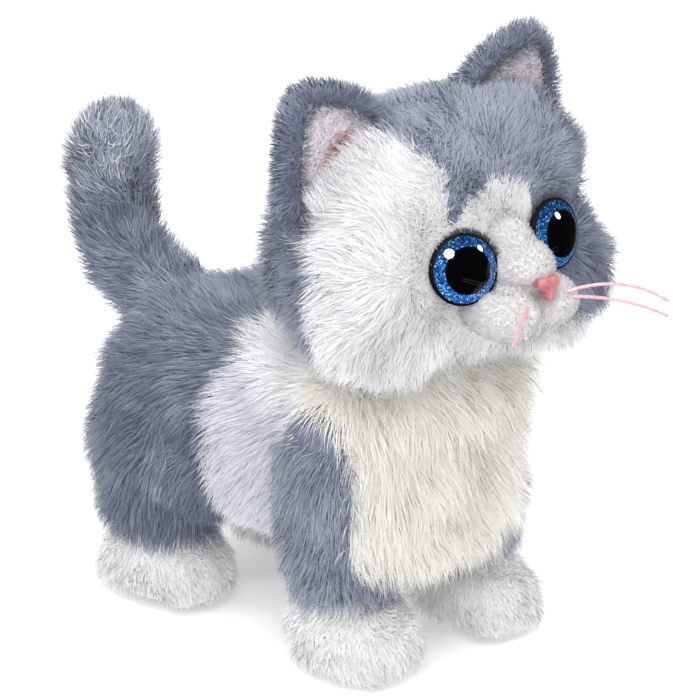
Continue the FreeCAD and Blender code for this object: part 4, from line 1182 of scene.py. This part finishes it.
for node, (c, ax, sx) in EYE.items():
    R = 15.0
    hc = 5.7 - R
    prof, which = [(9.5, -1.0), (11.0, -0.6), (11.2, 0.6), (11.0, 1.3)], [2, 2, 2]
    for r in (10.6, 10.3, 10.1, 9.2, 8.4, 7.9, 7.4, 7.2, 6.2, 5.4, 4.5, 3.5, 2.4, 1.2):
        prof.append((r, hc + math.sqrt(R * R - r * r)))
        which.append(2 if r >= 10.3 else (1 if r >= 7.4 else 0))
    prof.append((0, hc + R))
    which.append(0)
    which = which[:len(prof) - 1]
    eye = lathe(node + "_dome", c, ax, prof, 96, [PUPIL, IRIS, RIM], which)
    place(eye, body="head", replaces=(node,))
    # ragged black felt behind the rim
    rng = np.random.default_rng(700 + sx)
    u = np.cross(ax, [0, 0, 1.0])
    u /= np.linalg.norm(u)
    w = np.cross(u, ax)
    out = -1.0 if sx < 0 else 1.0            # which way is the outer corner, in x
    m = 900
    th = rng.random(m) * 2 * math.pi
    dirs = np.cos(th)[:, None] * u + np.sin(th)[:, None] * w
    weight = np.clip(0.35 + 0.65 * (dirs @ unit(np.array([[0.75, -0.2, 0.65]]))[0]), 0.08, 1)
    keep = rng.random(m) < weight
    dirs, weight = dirs[keep], weight[keep]
    root = c + dirs * 10.6 + ax * 0.3
    nn = unit(dirs * 0.75 + ax * 0.65)
    felt = fur(node + "_felt", root, nn, lambda p, n, weight=weight: 1.3 + 1.5 * weight,
               lambda p, n, dirs=dirs: dirs, lambda p, n, near, rng: (np.full(len(p), F0), np.ones(len(p), int), np.full(len(p), 0.4)),
               width=0.42, lay=0.5, jitter=0.3, clump=0.0, segments=2, seed=81 + sx)
    place(felt, body="head")

# ------------------------------------------------------------------ nose
OUT = [(-4.2, 1.2), (-3.6, 2.6), (-1.5, 2.9), (0, 2.5), (1.5, 2.9), (3.6, 2.6), (4.2, 1.2), (3.2, -0.4), (1.6, -1.2),
       (1.3, -3.4), (0.6, -4.2), (-0.6, -4.2), (-1.3, -3.4), (-1.6, -1.2), (-3.2, -0.4)]


def rounded(points, k=6):
    n = len(points)
    out = []
    for i in range(n):
        p0, p1, p2, p3 = (np.array(points[(i + d) % n], float) for d in (-1, 0, 1, 2))
        for s_ in range(k):
            t = s_ / k
            out.append(0.5 * ((2 * p1) + (p2 - p0) * t + (2 * p0 - 5 * p1 + 4 * p2 - p3) * t * t +
                              (3 * p1 - p0 - 3 * p2 + p3) * t ** 3))
    return out


def nose_mat():
    m, t, b = new_mat("nose_satin_stitch")
    n, l = t.nodes, t.links
    co = n.new("ShaderNodeTexCoord")
    wv = n.new("ShaderNodeTexWave")
    wv.bands_direction = "Z"
    wv.inputs["Scale"].default_value = 900
    wv.inputs["Distortion"].default_value = 3.0
    wv.inputs["Detail"].default_value = 2
    nz = n.new("ShaderNodeTexNoise")
    nz.inputs["Scale"].default_value = 420
    nz.inputs["Detail"].default_value = 5
    l.new(co.outputs["Object"], wv.inputs["Vector"])
    l.new(co.outputs["Object"], nz.inputs["Vector"])
    ramp = n.new("ShaderNodeValToRGB")
    ramp.color_ramp.elements[0].position = 0.32
    ramp.color_ramp.elements[0].color = srgb(160, 72, 84)
    ramp.color_ramp.elements[1].position = 0.7
    ramp.color_ramp.elements[1].color = srgb(208, 118, 126)
    l.new(nz.outputs["Fac"], ramp.inputs["Fac"])
    l.new(ramp.outputs["Color"], b.inputs["Base Color"])
    bp_ = n.new("ShaderNodeBump")
    bp_.inputs["Strength"].default_value = 0.5
    bp_.inputs["Distance"].default_value = 0.0002
    l.new(wv.outputs["Fac"], bp_.inputs["Height"])
    l.new(bp_.outputs["Normal"], b.inputs["Normal"])
    set_in(b, Roughness=0.62, Sheen_Weight=0.3)
    return m


def nose_piece():
    ring = rounded(OUT)
    c0 = np.array([0.0, 0.9])
    levels = [(0.86, 2.2), (0.97, 1.0), (1.0, 0.0), (0.985, -0.8), (0.93, -1.5), (0.8, -2.2), (0.6, -2.75), (0.35, -3.1), (0.15, -3.2)]
    verts, faces = [], []
    for s_, d in levels:
        for q in ring:
            v = c0 + (q - c0) * s_
            verts.append((v[0], d, v[1]))
    n = len(ring)
    for k in range(len(levels) - 1):
        for i in range(n):
            j = (i + 1) % n
            faces.append((k * n + i, k * n + j, (k + 1) * n + j, (k + 1) * n + i))
    top = len(verts)
    verts.append((c0[0], levels[-1][1] - 0.02, c0[1]))
    for i in range(n):
        faces.append(((len(levels) - 1) * n + i, (len(levels) - 1) * n + (i + 1) % n, top))
    faces.append(tuple(range(n - 1, -1, -1)))
    ca, sa = math.cos(math.radians(14)), math.sin(math.radians(14))
    out = []
    for x, y, z in verts:
        y, z = y * ca - z * sa * -1.0, z * ca + y * sa * -1.0
        out.append(tuple(P(x * 1.06, -101.0 + y, 142.2 + z * 1.06)))
    me = bpy.data.meshes.new("nose_patch")
    me.from_pydata(out, [], faces)
    me.shade_smooth()
    ob = bpy.data.objects.new("nose_patch", me)
    scene.collection.objects.link(ob)
    bm_fix(me)
    me.materials.append(nose_mat())
    return ob


nose = nose_piece()
place(nose, body="head", replaces=("nose",))

# ------------------------------------------------------------------ whiskers
def whisker_mat():
    m, t, b = new_mat("whisker_thread_pink")
    n, l = t.nodes, t.links
    co = n.new("ShaderNodeTexCoord")
    nz = n.new("ShaderNodeTexNoise")
    nz.inputs["Scale"].default_value = 900
    nz.inputs["Detail"].default_value = 3
    l.new(co.outputs["Object"], nz.inputs["Vector"])
    ramp = n.new("ShaderNodeValToRGB")
    ramp.color_ramp.elements[0].position = 0.35
    ramp.color_ramp.elements[0].color = srgb(214, 146, 160)
    ramp.color_ramp.elements[1].position = 0.65
    ramp.color_ramp.elements[1].color = srgb(244, 190, 198)
    l.new(nz.outputs["Fac"], ramp.inputs["Fac"])
    l.new(ramp.outputs["Color"], b.inputs["Base Color"])
    set_in(b, Roughness=0.45, Sheen_Weight=0.2)
    return m


def tube(name, points, radii, turns=10):
    pts = np.array(points, float)
    tan = np.gradient(pts, axis=0)
    tan = unit(tan)
    ref = np.array([0, 0, 1.0])
    verts, faces = [], []
    for q, t, r in zip(pts, tan, radii):
        u = np.cross(t, ref)
        u /= np.linalg.norm(u)
        w = np.cross(u, t)
        for i in range(turns):
            th = 2 * math.pi * i / turns
            verts.append(tuple(P(*(q + u * r * math.cos(th) + w * r * math.sin(th)))))
    n = len(pts)
    for k in range(n - 1):
        for i in range(turns):
            j = (i + 1) % turns
            faces.append((k * turns + i, k * turns + j, (k + 1) * turns + j, (k + 1) * turns + i))
    faces.append(tuple(range(turns)))
    faces.append(tuple(range(n * turns - 1, (n - 1) * turns - 1, -1)))
    me = bpy.data.meshes.new(name)
    me.from_pydata(verts, [], faces)
    me.shade_smooth()
    ob = bpy.data.objects.new(name, me)
    scene.collection.objects.link(ob)
    bm_fix(me)
    return ob


WHISK = whisker_mat()
ROUTES = {
    "right_1": ((-7.0, -100.0, 136.6), (-25, -20, 2.5), 1.4, 0.0),
    "right_2": ((-7.6, -99.8, 135.2), (-25.4, -19.6, 1.2), 0.6, 0.0),
    "left_1": ((8.4, -99.0, 137.2), (25, -20, -0.5), 3.2, -3.0),
    "left_2": ((8.8, -98.8, 136.0), (24.6, -19.8, -5.5), 1.6, -1.5),
}
for key, (root, d, sag, tip) in ROUTES.items():
    root = np.array(root)
    d = unit(np.array([d], float))[0]
    pts, rad = [], []
    for i in range(19):
        t = i / 18.0
        q = root + d * (33.0 * t)
        q = q + np.array([0, 0, 1.0]) * (4 * sag * t * (1 - t) + tip * t ** 3)
        pts.append(q)
        rad.append(0.58 - 0.16 * t)
    wk = tube("whisker_" + key, pts, rad)
    give(wk, WHISK)
    place(wk, body="head", replaces=("whiskers",))


# ------------------------------------------------------------------ belly opening and flap
def ring_strip(name, x0, y0, x1, y1, width, z_of, mat, height=0.8):
    """Bound edge round the belly opening: a soft raised strip."""
    pts = []
    r = 4.0
    for cx, cy, a0 in ((x1 - r, y1 - r, 0), (x0 + r, y1 - r, 90), (x0 + r, y0 + r, 180), (x1 - r, y0 + r, 270)):
        for i in range(7):
            a = math.radians(a0 + 15 * i)
            pts.append((cx + r * math.cos(a), cy + r * math.sin(a)))
    out = []
    n = len(pts)
    for i in range(n):
        a, b = np.array(pts[i]), np.array(pts[(i + 1) % n])
        k = max(1, int(np.linalg.norm(b - a) / 2.0))
        for j in range(k):
            out.append(a + (b - a) * j / k)
    n = len(out)
    verts, faces = [], []
    sec = [(math.cos(math.radians(a)) * width / 2, math.sin(math.radians(a)) * height) for a in range(0, 360, 45)]
    for i in range(n):
        t = out[(i + 1) % n] - out[i - 1]
        t /= np.linalg.norm(t)
        nrm = np.array([t[1], -t[0]])
        for s_, h in sec:
            q = out[i] + nrm * s_
            verts.append(tuple(P(q[0], q[1], z_of(q[0], q[1]) + h)))
    m = len(sec)
    for i in range(n):
        j = (i + 1) % n
        for k in range(m):
            faces.append((i * m + k, j * m + k, j * m + (k + 1) % m, i * m + (k + 1) % m))
    me = bpy.data.meshes.new(name)
    me.from_pydata(verts, [], faces)
    me.shade_smooth()
    ob = bpy.data.objects.new(name, me)
    scene.collection.objects.link(ob)
    bm_fix(me)
    give(ob, mat)
    return ob


BINDING = cloth_mat("binding_tape", srgb(188, 186, 184), srgb(226, 224, 221), scale=1400, bump=0.6)


def open_belly():
    """Cuts the opening out of the body skin and returns the skin's height beside it."""
    import bmesh
    me = torso.data
    co, nm = mesh_points(me)
    low = (nm[:, 2] < -0.2) & (co[:, 2] < 50)
    tree = kdtree.KDTree(int(low.sum()))
    pts = co[low]
    for i, q in enumerate(pts):
        tree.insert((q[0], q[1], 0), i)
    tree.balance()

    def z_of(x, y):
        near = tree.find_n((x, y, 0), 4)
        return float(np.mean([pts[i][2] for _, i, _ in near]))

    bm = bmesh.new()
    bm.from_mesh(me)
    gone = []
    for f in bm.faces:
        c = f.calc_center_median() / MM
        y = c.y - SH
        if abs(c.x) < BELLY[0] and BELLY[1] < y < BELLY[2] and c.z < 50:
            gone.append(f)
    bmesh.ops.delete(bm, geom=gone, context="FACES")
    bm.to_mesh(me)
    bm.free()
    return z_of


belly_z = open_belly()
strip = ring_strip("belly_binding", -BELLY[0] - 0.6, BELLY[1] - 0.6, BELLY[0] + 0.6, BELLY[2] + 0.6, 3.2, belly_z, BINDING)
place(strip, body="chassis")


def flap_panel():
    nx, ny = 12, 34
    verts, faces = [], []
    x0, x1, y0, y1 = -11.2, 11.2, -30.6, 37.6
    for side in (0, 1):
        for j in range(ny + 1):
            for i in range(nx + 1):
                u, v = i / nx, j / ny
                x, y = x0 + (x1 - x0) * u, y0 + (y1 - y0) * v
                edge = min(u, 1 - u) * (x1 - x0), min(v, 1 - v) * (y1 - y0)
                puff = 1.0 - math.exp(-min(edge) / 1.6)
                z = 32.3 - 1.5 * puff if side == 0 else 32.5 + 0.7 * puff
                verts.append(tuple(P(x, y, z)))
    n = (nx + 1) * (ny + 1)
    for j in range(ny):
        for i in range(nx):
            a = j * (nx + 1) + i
            faces.append((a, a + nx + 1, a + nx + 2, a + 1))
            faces.append((n + a, n + a + 1, n + a + nx + 2, n + a + nx + 1))
    for i in range(nx):
        faces.append((i, i + 1, n + i + 1, n + i))
        a = ny * (nx + 1) + i
        faces.append((a + 1, a, n + a, n + a + 1))
    for j in range(ny):
        a = j * (nx + 1)
        faces.append((a + nx + 1, a, n + a, n + a + nx + 1))
        a = a + nx
        faces.append((a, a + nx + 1, n + a + nx + 1, n + a))
    me = bpy.data.meshes.new("flap_panel")
    me.from_pydata(verts, [], faces)
    me.shade_smooth()
    ob = bpy.data.objects.new("flap_panel", me)
    scene.collection.objects.link(ob)
    bm_fix(me)
    return ob


flap = flap_panel()
give(flap, BACK_WHITE)
rng = np.random.default_rng(801)
fp, fn_ = scatter(flap.data, 1.6, rng, keep=lambda p, n: n[:, 2] < -0.5)
flap_fur = fur("flap_pile", fp, fn_, 3.2, lambda p, n: np.stack([0 * p[:, 0], 1 + 0 * p[:, 0], 0 * p[:, 0]], 1),
               shader_for(lambda p, n: np.ones(len(p), int), size=7.0, seed=111), width=0.42, lay=0.7,
               segments=2, seed=91)
place(flap, body="flap", replaces=("belly_flap",))
place(flap_fur, body="flap")

# ------------------------------------------------------------------ finishes of the CAD pieces
def made(name, dark, light, scale=120.0, rough=0.45, metal=0.0, bump=0.1, detail=4, stretch=(1, 1, 1), **extra):
    m, t, b = new_mat(name)
    n, l = t.nodes, t.links
    co = n.new("ShaderNodeTexCoord")
    mp_ = n.new("ShaderNodeMapping")
    mp_.inputs["Scale"].default_value = stretch
    nz = n.new("ShaderNodeTexNoise")
    nz.inputs["Scale"].default_value = scale
    nz.inputs["Detail"].default_value = detail
    l.new(co.outputs["Object"], mp_.inputs["Vector"])
    l.new(mp_.outputs["Vector"], nz.inputs["Vector"])
    ramp = n.new("ShaderNodeValToRGB")
    ramp.color_ramp.elements[0].position = 0.32
    ramp.color_ramp.elements[0].color = dark
    ramp.color_ramp.elements[1].position = 0.68
    ramp.color_ramp.elements[1].color = light
    l.new(nz.outputs["Fac"], ramp.inputs["Fac"])
    l.new(ramp.outputs["Color"], b.inputs["Base Color"])
    fine = n.new("ShaderNodeTexNoise")
    fine.inputs["Scale"].default_value = scale * 9
    fine.inputs["Detail"].default_value = 3
    l.new(mp_.outputs["Vector"], fine.inputs["Vector"])
    rr = n.new("ShaderNodeMapRange")
    rr.inputs["To Min"].default_value = max(0.02, rough - 0.1)
    rr.inputs["To Max"].default_value = min(1.0, rough + 0.12)
    l.new(fine.outputs["Fac"], rr.inputs["Value"])
    l.new(rr.outputs["Result"], b.inputs["Roughness"])
    bp_ = n.new("ShaderNodeBump")
    bp_.inputs["Strength"].default_value = bump
    bp_.inputs["Distance"].default_value = 0.0001
    l.new(fine.outputs["Fac"], bp_.inputs["Height"])
    l.new(bp_.outputs["Normal"], b.inputs["Normal"])
    set_in(b, Metallic=metal, **extra)
    return m


FIN = {
    "casing": made("abs_white", srgb(214, 214, 208), srgb(232, 231, 226), 90, 0.42),
    "gear": made("nylon_natural", srgb(224, 218, 200), srgb(240, 236, 222), 160, 0.38),
    "steel": made("steel_drawn", srgb(150, 152, 156), srgb(190, 192, 196), 240, 0.28, 1.0, 0.15, stretch=(0.2, 1, 1)),
    "brass": made("brass_spring", srgb(176, 142, 72), srgb(214, 182, 106), 220, 0.3, 1.0),
    "cell": made("cell_wrap", srgb(46, 88, 70), srgb(66, 116, 92), 150, 0.32),
    "board": made("board_green", srgb(18, 74, 48), srgb(32, 100, 66), 400, 0.4),
    "black": made("black_moulding", srgb(20, 20, 22), srgb(38, 38, 41), 200, 0.5),
    "felt": made("tape_nylon", srgb(196, 194, 190), srgb(226, 224, 220), 1200, 0.9, bump=0.6),
}
WHERE = {
    "steel": ("housing_screws", "door_screw", "gear_axles", "leg_pivot_pins", "neck_pivot_pin", "tail_pivot_pin",
              "crankshaft", "motor_can", "gearbox_posts"),
    "brass": ("battery_contacts", "crank_bushes", "motor_pinion"),
    "gear": ("output_gear", "gear_second", "gear_first", "crank_discs"),
    "cell": ("battery_cells",),
    "board": ("circuit_board",),
    "black": ("switch_body", "button_switch", "speaker", "switch_knob", "eye_washers", "battery_tray"),
    "felt": ("belly_loop_tape", "belly_hook_tape"),
}
finish_of = {n: k for k, names in WHERE.items() for n in names}
for name, ob in NODES.items():
    if ob.hide_render:
        continue
    mat = FIN[finish_of.get(name, "casing")]
    if not ob.data.materials:
        ob.data.materials.append(mat)
    for s_ in range(len(ob.material_slots)):
        ob.material_slots[s_].material = mat

print("fibres", sum(c for _, c in COUNT), COUNT)
